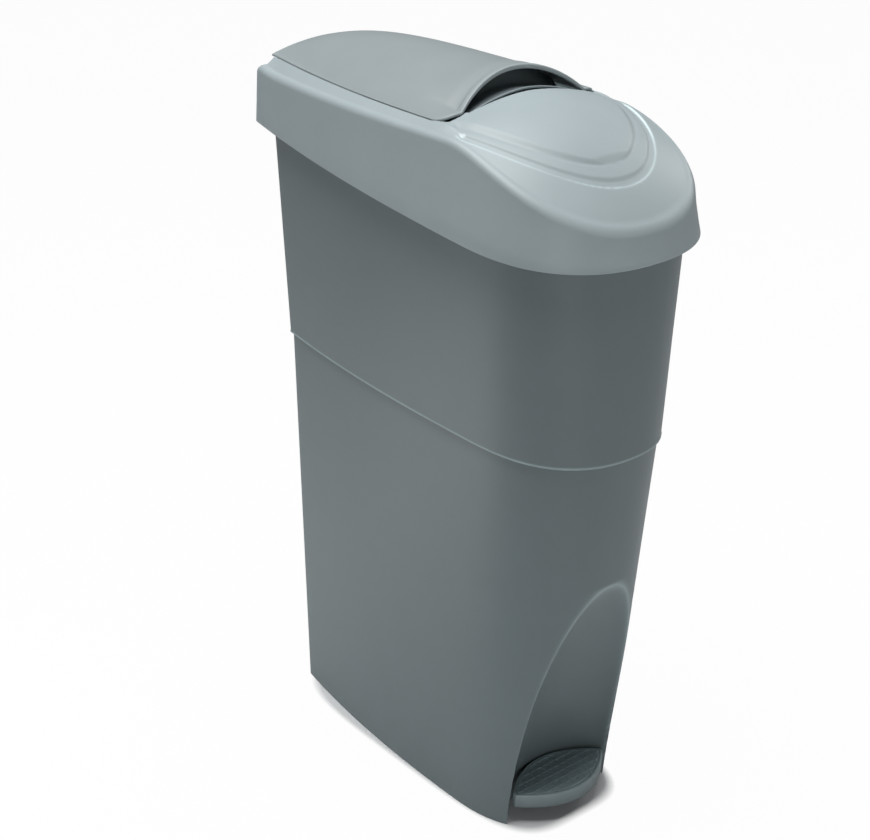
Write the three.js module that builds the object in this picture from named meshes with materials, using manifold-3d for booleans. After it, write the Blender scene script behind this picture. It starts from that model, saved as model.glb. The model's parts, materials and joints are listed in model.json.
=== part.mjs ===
// Sanitary container: a slim pedal bin with a lift-off lid, a flap hinged at the back and a tray
// under the flap. Millimetres, +Z up, nose and pedal at -Y. The sizes below are laid out about the
// body's middle, and the last lines move the whole so that its box is centred on the origin.
import * as THREE from 'three';
import { mergeVertices } from 'three/addons/utils/BufferGeometryUtils.js';
import Module from 'manifold-3d';

const wasm = await Module();
wasm.setup();

// Fits and cuts
const seatGap = 0.3; // between two pieces that rest on each other
const runGap = 0.15; // round a shaft that turns or slides
const overrun = 1; // how far a cutter runs past a face

// Facet counts
const sideCount = 9;
const noseCount = 11;
const cornerCount = 3;
const roundCount = 20;
const smallCount = 12;
const scoopCount = 28;

// Plan outlines of the body, from the floor up. The sides narrow towards the flat back by
// narrowShare, and from widestShare of the length on they close in the rounded nose.
const base = { z: 0, halfWidth: 68.4, back: 159.6, front: 152.3, narrowShare: 0.272, widestShare: 0.713 };
const waist = { z: 342.6, halfWidth: 76.3, back: 173.6, front: 179.3, narrowShare: 0.252, widestShare: 0.713 };
const rim = { z: 512, halfWidth: 88.1, back: 179.6, front: 179.1, narrowShare: 0.233, widestShare: 0.713 };
const outlineShape = { sideCurve: 2.3, noseCurve: 2.9, noseRound: 2.27, backCorner: 3, cornerLimitShare: 0.4 };
const bodySize = {
  wall: 2.5,
  stepDepth: 1.9,
  rimRise: 30.8, // how much higher the rim lies at the back than at the nose
  stepRise: 3.8, // the same for the step line
  stepSlope: 0.9, // height over which the step runs out
  floorZ: 46,
  floor: 3,
  ledgeDrop: 22, // the bag ring's ledge below the rim
  ledgeDepth: 3.5,
  ledgeHeight: 3,
  ledgeRunOut: 4,
};

// Toe recess: a leaning oval bay cut into the nose
const scoop = {
  apexZ: 228.5,
  sideInset: 9.4,
  halfDepth: 40,
  baseReach: 97,
  leanCurve: 1.65,
  roofLip: 12,
  levels: 11,
};

// Pedal mechanism under the floor
const pivot = { y: -15, z: 16 };
const axle = { radius: 4 };
const pedal = {
  sideGap: 8, // to the toe recess beside it
  gap: 2.2, // and behind it
  backBulge: 25,
  frontBulge: 26.4,
  tipHeight: 1.5,
  bottomZ: 16.5,
  topZ: 28.5,
  edgeRound: 1,
  skin: 3,
  rimWall: 3,
};
const tread = { inset: 4.6, recess: 1.4, pad: 1, rib: 0.6, ribWidth: 2, ribPitch: 7 };
const lever = {
  bottomZ: 14,
  tongueHalfWidth: 22,
  tongueAhead: 14, // of the pedal's corners
  tongueBehind: 18,
  frontHalfWidth: 15,
  rearHalfWidth: 9,
  hubHalfWidth: 20,
  hubRadius: 9,
  forkPastPin: 5.5,
  slotAheadOfPin: 15,
  slotHalfWidth: 4.6,
};
const slotMargin = { side: 3, belowTop: 2, front: 16, back: 8 };
const bush = { wall: 1.5, length: 10, flange: 1.4, flangeRadius: 8 };
const block = { thickness: 8, halfLength: 17, webHalfLength: 8, flange: 3, radius: 8.5 };
const axleCap = { radius: 6.5, depth: 3.6, end: 1.5 };
const blockScrew = { spread: 12.5, headRadius: 3, head: 2, shankRadius: 1.5, bite: 1.7 };
const pedalScrew = { x: 14, behind: 2, headRadius: 3, head: 1.8, shankRadius: 1.4, bite: 1 };
const forkPin = { radius: 2, overhang: 1.2 };
const footPad = { frontY: -58, fromBack: 29, sideInset: 13, radius: 8, height: 3.7, stemRadius: 2.6, stem: 8 };

// Push rod: leans with the back wall
const rod = {
  radius: 2.5,
  wallInset: 8.4, // from the back wall's inner face to the rod's foot
  baseZ: 17,
  footHalfWidth: 4.2,
  footHalfDepth: 5.2,
  footDrop: 4.8,
  footRise: 11,
  socket: 7,
  slotTravel: 1.8,
  tipRadius: 3.8,
  tipLength: 16,
  tipSkin: 2,
};
const floorBush = { radius: 6, flangeRadius: 9, flange: 1.5 };
const cover = { halfWidth: 13, depth: 9, wall: 1.8, topDrop: 10, wallGap: 0.3 };
const topGuide = { drop: 14, height: 10 };

// Lid
const lidSize = {
  rimCover: 12, // how far the skirt hangs below the body's rim
  overhang: 12.6,
  noseOverhang: 8.6,
  wall: 2.5,
  rearDraftShare: 0.03,
  noseDraftShare: 0.2,
  shoulderRound: 6,
  rearRise: 72, // heights of the shoulder above the skirt's edge at the nose
  crestRise: 80.5,
  noseRise: 23,
  backRise: 79,
  crestY: -65,
  noseFallCurve: 1.45,
  backShoulderX: 92,
  backShoulderFade: 14,
  backShoulderDepth: 28,
  rearFlangeMargin: 10,
  frontFlangeMargin: 7,
};
const nose = {
  mouthLift: 13, // the lid at the mouth's middle, above the shoulder's crest
  fallCurve: 2.2,
  crossCurve: 1.75,
  blendFront: -48,
  blendBack: -20,
};
const dome = { raise: 1.8, sink: 0.4, root: 1.9, centreY: -50, halfWidth: 74, length: 92, taper: 1.6, edge: 9 };
const groove = { radius: 3, depth: 1, centreY: -50, halfWidth: 84, length: 109, startShare: 0.04, points: 17 };
const rib = { width: 2, height: 5, reach: 7, placeShares: [0.16, 0.37, 0.6, 0.8], skirtBite: 1.5 };
const ledge = { width: 5, root: 3, depth: 2.5, bumper: 2.5, fromHinge: 25, fromFront: 1 };

// Flap, its hinge and what hangs under it
const flap = {
  rearInset: 3.4,
  frontY: -48,
  skin: 2.5,
  gap: 1,
  rearEdgeLift: 7, // the flap's edge above the lid's back shoulder, and above its crest
  frontEdgeLift: 2,
  rearCrown: 9,
  crownRise: 16.5,
  crownCurve: 4.5,
  cornerRadius: 17,
};
const hood = { flange: 16.5, height: 26, setBack: 11, blend: 49, flangeRise: 5.6 };
const pocket = {
  sideInset: 4.5,
  rimAhead: 1.2,
  rimBow: 0.6,
  depth: 36,
  sag: 3.5,
  skin: 2,
  rimSink: 0.4,
  rimLift: 3.9, // how far its rim stands up in the middle of the mouth
  upturnShare: 0.62,
  mouthGap: 1.2,
  roofGap: 0.5,
};
const hinge = { inset: 2.5, drop: 6.5, pinRadius: 2, knuckleRadius: 4 };
const hingeSlot = { halfWidth: 60, clearance: 0.5, depth: 22 };
const lug = { innerX: 15, outerX: 50, width: 7, foot: 12, front: 2.5, back: 2.4 };
const knuckle = { x: 33, width: 14, web: 3.5 };
const crank = {
  halfWidth: 8,
  padDrop: 6,
  padLength: 14,
  armHeight: 5,
  postFront: 25, // distances ahead of the hinge
  postBack: 16,
  flange: 3,
  flangeFront: 38,
  flangeBack: 5,
};
const crankScrew = { front: 33, rear: 10.5, headRadius: 3, head: 1.8, shankRadius: 1.4, bite: 1.4 };
const trayScrew = { x: 24, ahead: 51, headRadius: 3, head: 1.8, shankRadius: 1.4, bite: 1.4, headGap: 0.8 };
const tray = {
  halfWidth: 50,
  skin: 2,
  bend: 5,
  flangeFront: 59, // distances ahead of the hinge and below it
  flangeBack: 43,
  heelAhead: 39,
  heelDrop: 17.5,
  bellyAhead: 55,
  bellyDrop: 59.5,
  floorAhead: 93,
  floorDrop: 89.5,
  lipAhead: 141,
  lipDrop: 102.5,
  cheekRise: 26,
  cheek: 2,
};
const bumper = { radius: 3, stemRadius: 1.4, stem: 1.6, fromFront: 17, inset: 1.7 };
const bagRing = { height: 12, width: 6, clearance: 0.4 };

// Colours and finishes
const darkPlastic = { color: 0x4f5d62, roughness: 0.45, metalness: 0 };
const lightPlastic = { color: 0xa9b8bb, roughness: 0.42, metalness: 0 };
const flapPlastic = { color: 0x98a4a6, roughness: 0.45, metalness: 0 };
const pocketPlastic = { color: 0x5f6a6f, roughness: 0.5, metalness: 0 };
const treadRubber = { color: 0x39464b, roughness: 0.7, metalness: 0 };
const blackPlastic = { color: 0x24282a, roughness: 0.55, metalness: 0 };
const steel = { color: 0xb4b8bb, roughness: 0.3, metalness: 1 };
const rubber = { color: 0x1d1f20, roughness: 0.85, metalness: 0 };

// Small sums
const mix = (from, to, share) => from + (to - from) * share;
const clampShare = (value) => Math.min(Math.max(value, 0), 1);
const smooth = (value) => clampShare(value) ** 2 * (3 - 2 * clampShare(value));
const easeOut = (share, curve) => 1 - (1 - clampShare(share)) ** curve;

// Solids and geometries

function solidOf(geometry) {
  const bare = geometry.clone();
  bare.deleteAttribute('normal');
  bare.deleteAttribute('uv');
  const welded = mergeVertices(bare);
  return new wasm.Manifold(
    new wasm.Mesh({
      numProp: 3,
      vertProperties: new Float32Array(welded.attributes.position.array),
      triVerts: new Uint32Array(welded.index.array),
    }),
  );
}

function geometryOf(solid) {
  const mesh = solid.getMesh();
  const geometry = new THREE.BufferGeometry();
  geometry.setAttribute('position', new THREE.BufferAttribute(new Float32Array(mesh.vertProperties), 3));
  geometry.setIndex(new THREE.BufferAttribute(new Uint32Array(mesh.triVerts), 1));
  geometry.computeVertexNormals();
  return geometry;
}

function closedGeometry(points, triangles) {
  const geometry = new THREE.BufferGeometry();
  geometry.setAttribute('position', new THREE.Float32BufferAttribute(points.flatMap((p) => [p.x, p.y, p.z]), 3));
  let volume = 0;
  for (let i = 0; i < triangles.length; i += 3) {
    const [a, b, c] = [points[triangles[i]], points[triangles[i + 1]], points[triangles[i + 2]]];
    volume += a.dot(new THREE.Vector3().crossVectors(b, c));
  }
  geometry.setIndex(volume < 0 ? triangles.toReversed() : triangles);
  return geometry;
}

// Joins rings that all start at the back and mirror about X = 0, and closes both ends
function loft(rings) {
  const count = rings[0].length;
  const triangles = [];
  for (let r = 0; r + 1 < rings.length; r++) {
    for (let i = 0; i < count; i++) {
      const a = r * count + i;
      const b = r * count + ((i + 1) % count);
      triangles.push(a, b, b + count, a, b + count, a + count);
    }
  }
  const last = (rings.length - 1) * count;
  for (let i = 0; i < count / 2; i++) {
    const quad = [i, i + 1, (count - i - 1) % count, (count - i) % count];
    for (const [a, b, c] of [[0, 1, 2], [0, 2, 3]]) {
      if (new Set([quad[a], quad[b], quad[c]]).size < 3) continue;
      triangles.push(quad[c], quad[b], quad[a]);
      triangles.push(last + quad[a], last + quad[b], last + quad[c]);
    }
  }
  return closedGeometry(rings.flat(), triangles);
}

// Joins rings in a closed chain, as for a hoop
function hoop(rings) {
  const count = rings[0].length;
  const triangles = [];
  for (let r = 0; r < rings.length; r++) {
    const next = (r + 1) % rings.length;
    for (let i = 0; i < count; i++) {
      const j = (i + 1) % count;
      triangles.push(r * count + i, r * count + j, next * count + j);
      triangles.push(r * count + i, next * count + j, next * count + i);
    }
  }
  return closedGeometry(rings.flat(), triangles);
}

// A skin between two faces, each a point for every (across, along) from 0 to 1
function skin(upper, lower, acrossCount, alongCount) {
  const points = [];
  for (const face of [upper, lower]) {
    for (let j = 0; j <= alongCount; j++) {
      for (let i = 0; i <= acrossCount; i++) points.push(face(i / acrossCount, j / alongCount));
    }
  }
  const row = acrossCount + 1;
  const layer = row * (alongCount + 1);
  const triangles = [];
  const quad = (a, b, c, d) => triangles.push(a, b, c, a, c, d);
  for (let j = 0; j < alongCount; j++) {
    for (let i = 0; i < acrossCount; i++) {
      const a = j * row + i;
      quad(a, a + 1, a + row + 1, a + row);
      quad(layer + a, layer + a + row, layer + a + row + 1, layer + a + 1);
    }
  }
  for (let i = 0; i < acrossCount; i++) {
    const end = alongCount * row + i;
    quad(i + 1, i, layer + i, layer + i + 1);
    quad(end, end + 1, layer + end + 1, layer + end);
  }
  for (let j = 0; j < alongCount; j++) {
    const left = j * row;
    const right = left + acrossCount;
    quad(left, left + row, layer + left + row, layer + left);
    quad(right + row, right, layer + right, layer + right + row);
  }
  return closedGeometry(points, triangles);
}

// A skin between two heights over a patch of the plan
function plate(place, topOf, bottomOf, acrossCount, alongCount) {
  const face = (heightOf) => (across, along) => {
    const { x, y } = place(across, along);
    return new THREE.Vector3(x, y, heightOf(x, y));
  };
  return skin(face(topOf), face(bottomOf), acrossCount, alongCount);
}

// A block between two corners
function slab(x0, x1, y0, y1, z0, z1) {
  const geometry = new THREE.BoxGeometry(x1 - x0, y1 - y0, z1 - z0);
  return geometry.translate((x0 + x1) / 2, (y0 + y1) / 2, (z0 + z1) / 2);
}

// Round bars: along X from x0 to x1, or along Z from z0 to z1
function barX(radius, x0, x1, y, z, sides = roundCount) {
  const geometry = new THREE.CylinderGeometry(radius, radius, x1 - x0, sides).rotateZ(Math.PI / 2);
  return geometry.translate((x0 + x1) / 2, y, z);
}

function barZ(radius, z0, z1, x, y, sides = roundCount) {
  const geometry = new THREE.CylinderGeometry(radius, radius, z1 - z0, sides).rotateX(Math.PI / 2);
  return geometry.translate(x, y, (z0 + z1) / 2);
}

// A round piece turned about Z from [radius, height] pairs
function turned(profile, x, y, sides = roundCount) {
  const points = profile.map(([radius, height]) => new THREE.Vector2(radius, height));
  return new THREE.LatheGeometry(points, sides).rotateX(Math.PI / 2).translate(x, y, 0);
}

// A side profile of [y, z] pairs, as thick as x0 to x1
function profileX(pairs, x0, x1) {
  const shape = new THREE.Shape(pairs.map(([y, z]) => new THREE.Vector2(y, z)));
  const geometry = new THREE.ExtrudeGeometry(shape, { depth: x1 - x0, bevelEnabled: false });
  const turn = new THREE.Matrix4().makeBasis(
    new THREE.Vector3(0, 1, 0),
    new THREE.Vector3(0, 0, 1),
    new THREE.Vector3(1, 0, 0),
  );
  return geometry.applyMatrix4(turn).translate(x0, 0, 0);
}

// A plan outline of [x, y] pairs, as high as z0 to z1
function profileZ(pairs, z0, z1) {
  const shape = new THREE.Shape(pairs.map(([x, y]) => new THREE.Vector2(x, y)));
  return new THREE.ExtrudeGeometry(shape, { depth: z1 - z0, bevelEnabled: false }).translate(0, 0, z0);
}

function joined(...geometries) {
  return geometries.map(solidOf).reduce((whole, piece) => whole.add(piece));
}

function cut(solid, ...geometries) {
  return geometries.map(solidOf).reduce((whole, piece) => whole.subtract(piece), solid);
}

function named(name, shape, finish) {
  const geometry = shape.isBufferGeometry ? geometryOf(solidOf(shape)) : geometryOf(shape);
  const mesh = new THREE.Mesh(geometry, new THREE.MeshStandardMaterial(finish));
  mesh.name = name;
  return mesh;
}

// Plan outlines

function blendLevels(low, high, z) {
  const share = (z - low.z) / (high.z - low.z);
  const level = { z };
  for (const key of ['halfWidth', 'back', 'front', 'narrowShare', 'widestShare']) {
    level[key] = mix(low[key], high[key], share);
  }
  return level;
}

function grown(level, amount) {
  return {
    ...level,
    halfWidth: level.halfWidth + amount,
    back: level.back + amount,
    front: level.front + amount,
  };
}

const waistLow = grown(waist, -bodySize.stepDepth);
const lowerLevel = (z) => blendLevels(base, waistLow, z);
const upperLevel = (z) => blendLevels(waist, rim, z);
const toBack = (level, y) => (y + level.front) / (level.front + level.back);
const rimZ = (y) => rim.z + bodySize.rimRise * toBack(rim, y);
const stepZ = (y) => waist.z + bodySize.stepRise * toBack(waist, y);

function widthShare(level, share) {
  const { narrowShare, widestShare } = level;
  if (share <= widestShare) {
    return 1 - narrowShare * ((widestShare - share) / widestShare) ** outlineShape.sideCurve;
  }
  const along = (share - widestShare) / (1 - widestShare);
  return Math.max(1 - along ** outlineShape.noseCurve, 0) ** (1 / outlineShape.noseRound);
}

function planPoint(level, share) {
  const y = level.back - (level.back + level.front) * share;
  return new THREE.Vector2(level.halfWidth * widthShare(level, share), y);
}

function halfWidthAt(level, y) {
  const share = clampShare((level.back - y) / (level.back + level.front));
  return planPoint(level, share).x;
}

// The outline as points, from the middle of the back over +X to the nose and back over -X
function planOutline(level) {
  const backHalf = level.halfWidth * (1 - level.narrowShare);
  const corner = Math.min(outlineShape.backCorner, backHalf * outlineShape.cornerLimitShare);
  const sharp = new THREE.Vector2(backHalf, level.back);
  const from = new THREE.Vector2(backHalf - corner, level.back);
  const cornerShare = corner / (level.back + level.front);
  const to = planPoint(level, cornerShare);
  const half = [new THREE.Vector2(0, level.back)];
  const curve = new THREE.QuadraticBezierCurve(from, sharp, to);
  half.push(...curve.getPoints(cornerCount));
  for (let i = 1; i <= sideCount; i++) {
    half.push(planPoint(level, mix(cornerShare, level.widestShare, i / sideCount)));
  }
  for (let i = 1; i <= noseCount; i++) {
    const along = Math.sin((i / noseCount) * (Math.PI / 2));
    half.push(planPoint(level, mix(level.widestShare, 1, along)));
  }
  half.at(-1).x = 0;
  const mirrored = half.slice(1, -1).reverse().map((p) => new THREE.Vector2(-p.x, p.y));
  return [...half, ...mirrored];
}

function ring(level, inset, heightOf) {
  const outline = planOutline(grown(level, -inset));
  return outline.map((p) => new THREE.Vector3(p.x, p.y, heightOf(p.x, p.y)));
}

const flatRing = (level, inset, z) => ring(level, inset, () => z);

// A ring on the drafted wall, each point at its own height
function wallRing(levelOf, inset, heightOf) {
  return planOutline(grown(levelOf(waist.z, 0), -inset)).map((p, i) => {
    const z = heightOf(p.y);
    const onWall = planOutline(grown(levelOf(z, p.y), -inset))[i];
    return new THREE.Vector3(onWall.x, onWall.y, z);
  });
}

// The upper wall runs from the waist to the tilted rim, so its level at a height depends on y
function upperAt(z, y) {
  const share = (z - waist.z) / (rimZ(y) - waist.z);
  return upperLevel(mix(waist.z, rim.z, share));
}

// Body

const ledgeZ = rim.z - bodySize.ledgeDrop;
const scoopHalfWidth = base.halfWidth - scoop.sideInset;

// How far ahead of the middle the toe recess's wall stands at a height
function scoopReach(z) {
  const topReach = lowerLevel(scoop.apexZ).front;
  const share = clampShare(1 - z / scoop.apexZ);
  const pastApex = Math.max(z - scoop.apexZ, 0);
  return mix(topReach, scoop.baseReach, easeOut(share, scoop.leanCurve)) + pastApex;
}

function scoopRing(z, grow) {
  const backY = grow - scoopReach(z);
  const points = [];
  for (let i = 0; i < scoopCount; i++) {
    const angle = (i / scoopCount) * 2 * Math.PI;
    const x = (scoopHalfWidth + grow) * Math.sin(angle);
    const y = backY - (scoop.halfDepth + grow) * (1 - Math.cos(angle));
    points.push(new THREE.Vector3(i % (scoopCount / 2) ? x : 0, y, z));
  }
  return points;
}

function scoopTool(grow) {
  const rings = [scoopRing(-overrun, grow)];
  for (let i = 1; i <= scoop.levels; i++) {
    rings.push(scoopRing((scoop.apexZ * i) / scoop.levels, grow));
  }
  rings.push(scoopRing(scoop.apexZ + scoop.roofLip, grow));
  return loft(rings);
}

const footRearY = base.back - footPad.fromBack;
const footFrontX = halfWidthAt(base, footPad.frontY) - footPad.sideInset;
const footRearX = halfWidthAt(base, footRearY) - footPad.sideInset;
const footPlaces = [
  ['front_left', -footFrontX, footPad.frontY],
  ['front_right', footFrontX, footPad.frontY],
  ['rear_left', -footRearX, footRearY],
  ['rear_right', footRearX, footRearY],
];

const floorTop = bodySize.floorZ + bodySize.floor;
const rodTilt = Math.atan((waistLow.back - base.back) / waist.z);
const rodBaseY = base.back - bodySize.wall - rod.wallInset;
const rodCentreY = (z) => rodBaseY + (z - rod.baseZ) * Math.tan(rodTilt);

function bodyShell() {
  const { wall, ledgeDepth, ledgeHeight, ledgeRunOut, floorZ, stepSlope } = bodySize;
  const outer = loft([
    flatRing(base, 0, 0),
    wallRing(lowerLevel, 0, stepZ),
    wallRing(upperAt, 0, (y) => stepZ(y) + stepSlope),
    wallRing(upperAt, 0, rimZ),
  ]);
  const ledgeBottom = ledgeZ - ledgeHeight;
  const inner = loft([
    flatRing(lowerLevel(floorTop), wall, floorTop),
    wallRing(lowerLevel, wall, stepZ),
    wallRing(upperAt, wall, (y) => stepZ(y) + stepSlope),
    wallRing(upperAt, wall, () => ledgeBottom - ledgeRunOut),
    wallRing(upperAt, wall + ledgeDepth, () => ledgeBottom),
    wallRing(upperAt, wall + ledgeDepth, () => ledgeZ),
    wallRing(upperAt, wall, () => ledgeZ),
    wallRing(upperAt, wall, rimZ),
    wallRing(upperAt, wall, (y) => rimZ(y) + overrun),
  ]);
  const under = loft([flatRing(base, wall, -overrun), flatRing(lowerLevel(floorZ), wall, floorZ)]);
  const bay = solidOf(scoopTool(wall));
  let body = solidOf(outer);
  body = body.subtract(solidOf(inner).subtract(bay));
  body = body.subtract(solidOf(under).subtract(bay));
  body = cut(body, scoopTool(0));

  const slotHalf = lever.frontHalfWidth + slotMargin.side;
  const slotFront = -scoop.baseReach - slotMargin.front;
  const slotBack = -scoop.baseReach + slotMargin.back;
  body = cut(
    body,
    slab(-slotHalf, slotHalf, slotFront, slotBack, -overrun, pedal.topZ - slotMargin.belowTop),
    barZ(floorBush.radius + 2 * seatGap, floorZ - overrun, floorTop + overrun, 0, rodCentreY(floorZ)),
  );
  for (const [, x, y] of footPlaces) {
    body = body.add(solidOf(barZ(footPad.radius, footPad.height + seatGap, floorZ + overrun, x, y)));
    body = cut(body, barZ(footPad.stemRadius + seatGap, 0, footPad.height + footPad.stem + seatGap, x, y));
  }
  const screwHoleTop = floorZ + blockScrew.bite + seatGap;
  for (const [, x, y] of blockScrewPlaces) {
    body = cut(body, barZ(blockScrew.shankRadius + seatGap, floorZ - overrun, screwHoleTop, x, y));
  }
  return body;
}

function bagHoop() {
  const outerInset = bodySize.wall + bagRing.clearance;
  const innerInset = outerInset + bagRing.width;
  const bottom = ledgeZ + seatGap;
  const top = bottom + bagRing.height;
  return hoop([
    wallRing(upperAt, outerInset, () => bottom),
    wallRing(upperAt, outerInset, () => top),
    wallRing(upperAt, innerInset, () => top),
    wallRing(upperAt, innerInset, () => bottom),
  ]);
}

function rubberFoot(x, y) {
  const { radius, height, stemRadius, stem } = footPad;
  return turned([[0, 0], [radius, 0], [radius, height], [stemRadius, height], [stemRadius, height + stem],
    [0, height + stem]], x, y, smallCount);
}

// Cross axle and its bearings

const blockInner = lever.hubHalfWidth + bush.flange + 2 * seatGap;
const blockOuter = blockInner + block.thickness;
const blockMid = (blockInner + blockOuter) / 2;
const blockScrewPlaces = [
  ['left_front', -blockMid, pivot.y - blockScrew.spread],
  ['left_rear', -blockMid, pivot.y + blockScrew.spread],
  ['right_front', blockMid, pivot.y - blockScrew.spread],
  ['right_rear', blockMid, pivot.y + blockScrew.spread],
];

function pivotBlock(side) {
  const x0 = side > 0 ? blockInner : -blockOuter;
  const x1 = x0 + block.thickness;
  const top = bodySize.floorZ - seatGap;
  const flangeZ = top - block.flange;
  let solid = joined(
    slab(x0, x1, pivot.y - block.halfLength, pivot.y + block.halfLength, flangeZ, top),
    slab(x0, x1, pivot.y - block.webHalfLength, pivot.y + block.webHalfLength, pivot.z, top),
    barX(block.radius, x0, x1, pivot.y, pivot.z),
  );
  solid = cut(solid, barX(axle.radius + runGap, x0 - overrun, x1 + overrun, pivot.y, pivot.z));
  for (const [, x, y] of blockScrewPlaces) {
    if (Math.sign(x) !== side) continue;
    solid = cut(solid, barZ(blockScrew.shankRadius + seatGap, flangeZ - overrun, top + overrun, x, y));
  }
  return solid;
}

// A screw with its head below: the head's top is at headTop and the shank ends at shankTop
function screwUp(screw, x, y, headTop, shankTop) {
  return turned([[0, headTop - screw.head], [screw.headRadius, headTop - screw.head],
    [screw.headRadius, headTop], [screw.shankRadius, headTop], [screw.shankRadius, shankTop],
    [0, shankTop]], x, y, smallCount);
}

function axleEndCap(side) {
  const inner = side * (blockOuter + seatGap);
  const outer = inner + side * (axleCap.depth);
  const floorX = outer - side * axleCap.end;
  const body = barX(axleCap.radius, Math.min(inner, outer), Math.max(inner, outer), pivot.y, pivot.z);
  const bore = axle.radius + runGap;
  const from = inner - side * overrun;
  return cut(solidOf(body), barX(bore, Math.min(from, floorX), Math.max(from, floorX), pivot.y, pivot.z));
}

const axleHalf = blockOuter + axleCap.depth - axleCap.end;

function leverBush(side) {
  const flangeIn = lever.hubHalfWidth + seatGap;
  const flangeOut = flangeIn + bush.flange;
  const sleeveIn = flangeIn - bush.length;
  const span = (from, to) => (side > 0 ? [from, to] : [-to, -from]);
  const sleeve = barX(axle.radius + bush.wall, ...span(sleeveIn, flangeIn + overrun / 2), pivot.y, pivot.z);
  const flange = barX(bush.flangeRadius, ...span(flangeIn, flangeOut), pivot.y, pivot.z);
  const bore = barX(axle.radius + runGap, ...span(sleeveIn - overrun, flangeOut + overrun), pivot.y, pivot.z);
  return cut(joined(sleeve, flange), bore);
}

// Pedal and lever

const pedalHalfWidth = scoopHalfWidth - pedal.sideGap;
const pedalChordY = -(scoopReach(pedal.topZ) + pedal.gap + pedal.backBulge);
const pedalScrewY = pedalChordY + pedalScrew.behind;

// The lens outline of the pedal, from the middle of its back over +X to its front
function lensRing(inset, z) {
  const halfWidth = pedalHalfWidth - inset;
  const steps = 10;
  const half = [];
  const bow = (x) => 1 - (x / halfWidth) ** 2;
  for (let i = 0; i <= steps; i++) {
    const x = halfWidth * Math.sin((i / steps) * (Math.PI / 2));
    half.push([x, pedalChordY + pedal.tipHeight + (pedal.backBulge - pedal.tipHeight - inset) * bow(x)]);
  }
  for (let i = steps; i >= 0; i--) {
    const x = halfWidth * Math.sin((i / steps) * (Math.PI / 2));
    half.push([x, pedalChordY - pedal.tipHeight - (pedal.frontBulge - pedal.tipHeight - inset) * bow(x)]);
  }
  const right = half.map(([x, y]) => new THREE.Vector3(x, y, z));
  const left = right.slice(1, -1).reverse().map((p) => new THREE.Vector3(-p.x, p.y, z));
  return [...right, ...left];
}

const treadFloor = pedal.topZ - tread.recess;

function pedalPlate() {
  const { bottomZ, topZ, edgeRound, skin: plateSkin, rimWall } = pedal;
  const blank = loft([lensRing(edgeRound / 2, bottomZ), lensRing(0, bottomZ + edgeRound / 2),
    lensRing(0, topZ - edgeRound), lensRing(edgeRound, topZ)]);
  const hollow = loft([lensRing(rimWall, bottomZ - overrun), lensRing(rimWall, topZ - plateSkin)]);
  const recess = loft([lensRing(tread.inset, treadFloor), lensRing(tread.inset, topZ + overrun)]);
  const notchHalf = lever.frontHalfWidth + seatGap;
  const chordBack = pedalChordY + rimWall;
  const notch = slab(-notchHalf, notchHalf, chordBack, pedalChordY + pedal.backBulge + overrun,
    bottomZ - overrun, topZ - plateSkin);
  let solid = cut(solidOf(blank), hollow, recess, notch);
  for (const side of [-1, 1]) {
    const x = side * pedalScrew.x;
    const holeTop = topZ - plateSkin + pedalScrew.bite + seatGap;
    solid = cut(solid, barZ(pedalScrew.shankRadius + seatGap, bottomZ, holeTop, x, pedalScrewY));
  }
  return solid;
}

function treadPad() {
  const bottom = treadFloor + seatGap;
  const top = bottom + tread.pad;
  const outline = solidOf(loft([lensRing(tread.inset + seatGap, bottom),
    lensRing(tread.inset + seatGap, top + tread.rib)]));
  let solid = solidOf(loft([lensRing(tread.inset + seatGap, bottom), lensRing(tread.inset + seatGap, top)]));
  const reach = pedalHalfWidth;
  const count = Math.floor((pedal.backBulge + pedal.frontBulge) / tread.ribPitch / 2);
  for (let i = -count; i <= count; i++) {
    const y = pedalChordY + i * tread.ribPitch;
    const bar = slab(-reach, reach, y - tread.ribWidth / 2, y + tread.ribWidth / 2, bottom, top + tread.rib);
    solid = solid.add(solidOf(bar).intersect(outline));
  }
  return solid;
}

const leverTop = pedal.topZ - pedal.skin - seatGap;

function pedalLever() {
  const { tongueHalfWidth, frontHalfWidth, rearHalfWidth } = lever;
  const tongueFront = pedalChordY - lever.tongueAhead;
  const tongueBack = pedalChordY + lever.tongueBehind;
  const forkEnd = rodBaseY + lever.forkPastPin;
  const hubBack = pivot.y + lever.hubRadius;
  const right = [
    [tongueHalfWidth, tongueFront],
    [tongueHalfWidth, tongueBack - (tongueHalfWidth - frontHalfWidth)],
    [frontHalfWidth, tongueBack],
    [frontHalfWidth, pivot.y],
    [rearHalfWidth, hubBack + (frontHalfWidth - rearHalfWidth)],
    [rearHalfWidth, forkEnd],
  ];
  const left = right.map(([x, y]) => [-x, y]).reverse();
  const bar = profileZ([...right, ...left], lever.bottomZ, leverTop);
  const hub = barX(lever.hubRadius, -lever.hubHalfWidth, lever.hubHalfWidth, pivot.y, pivot.z);
  let solid = joined(bar, hub);
  const hubReach = lever.hubHalfWidth + overrun;
  solid = cut(
    solid,
    barX(axle.radius + bush.wall + seatGap, -hubReach, hubReach, pivot.y, pivot.z),
    slab(-lever.slotHalfWidth, lever.slotHalfWidth, rodBaseY - lever.slotAheadOfPin, forkEnd + overrun,
      lever.bottomZ - overrun, leverTop + overrun),
    barX(forkPin.radius + runGap, -hubReach, hubReach, rodBaseY, rod.baseZ),
  );
  for (const side of [-1, 1]) {
    const x = side * pedalScrew.x;
    solid = cut(solid, barZ(pedalScrew.shankRadius + seatGap, lever.bottomZ - overrun, leverTop + overrun,
      x, pedalScrewY));
  }
  return solid;
}

// Heights of the lid and the flap

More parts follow.
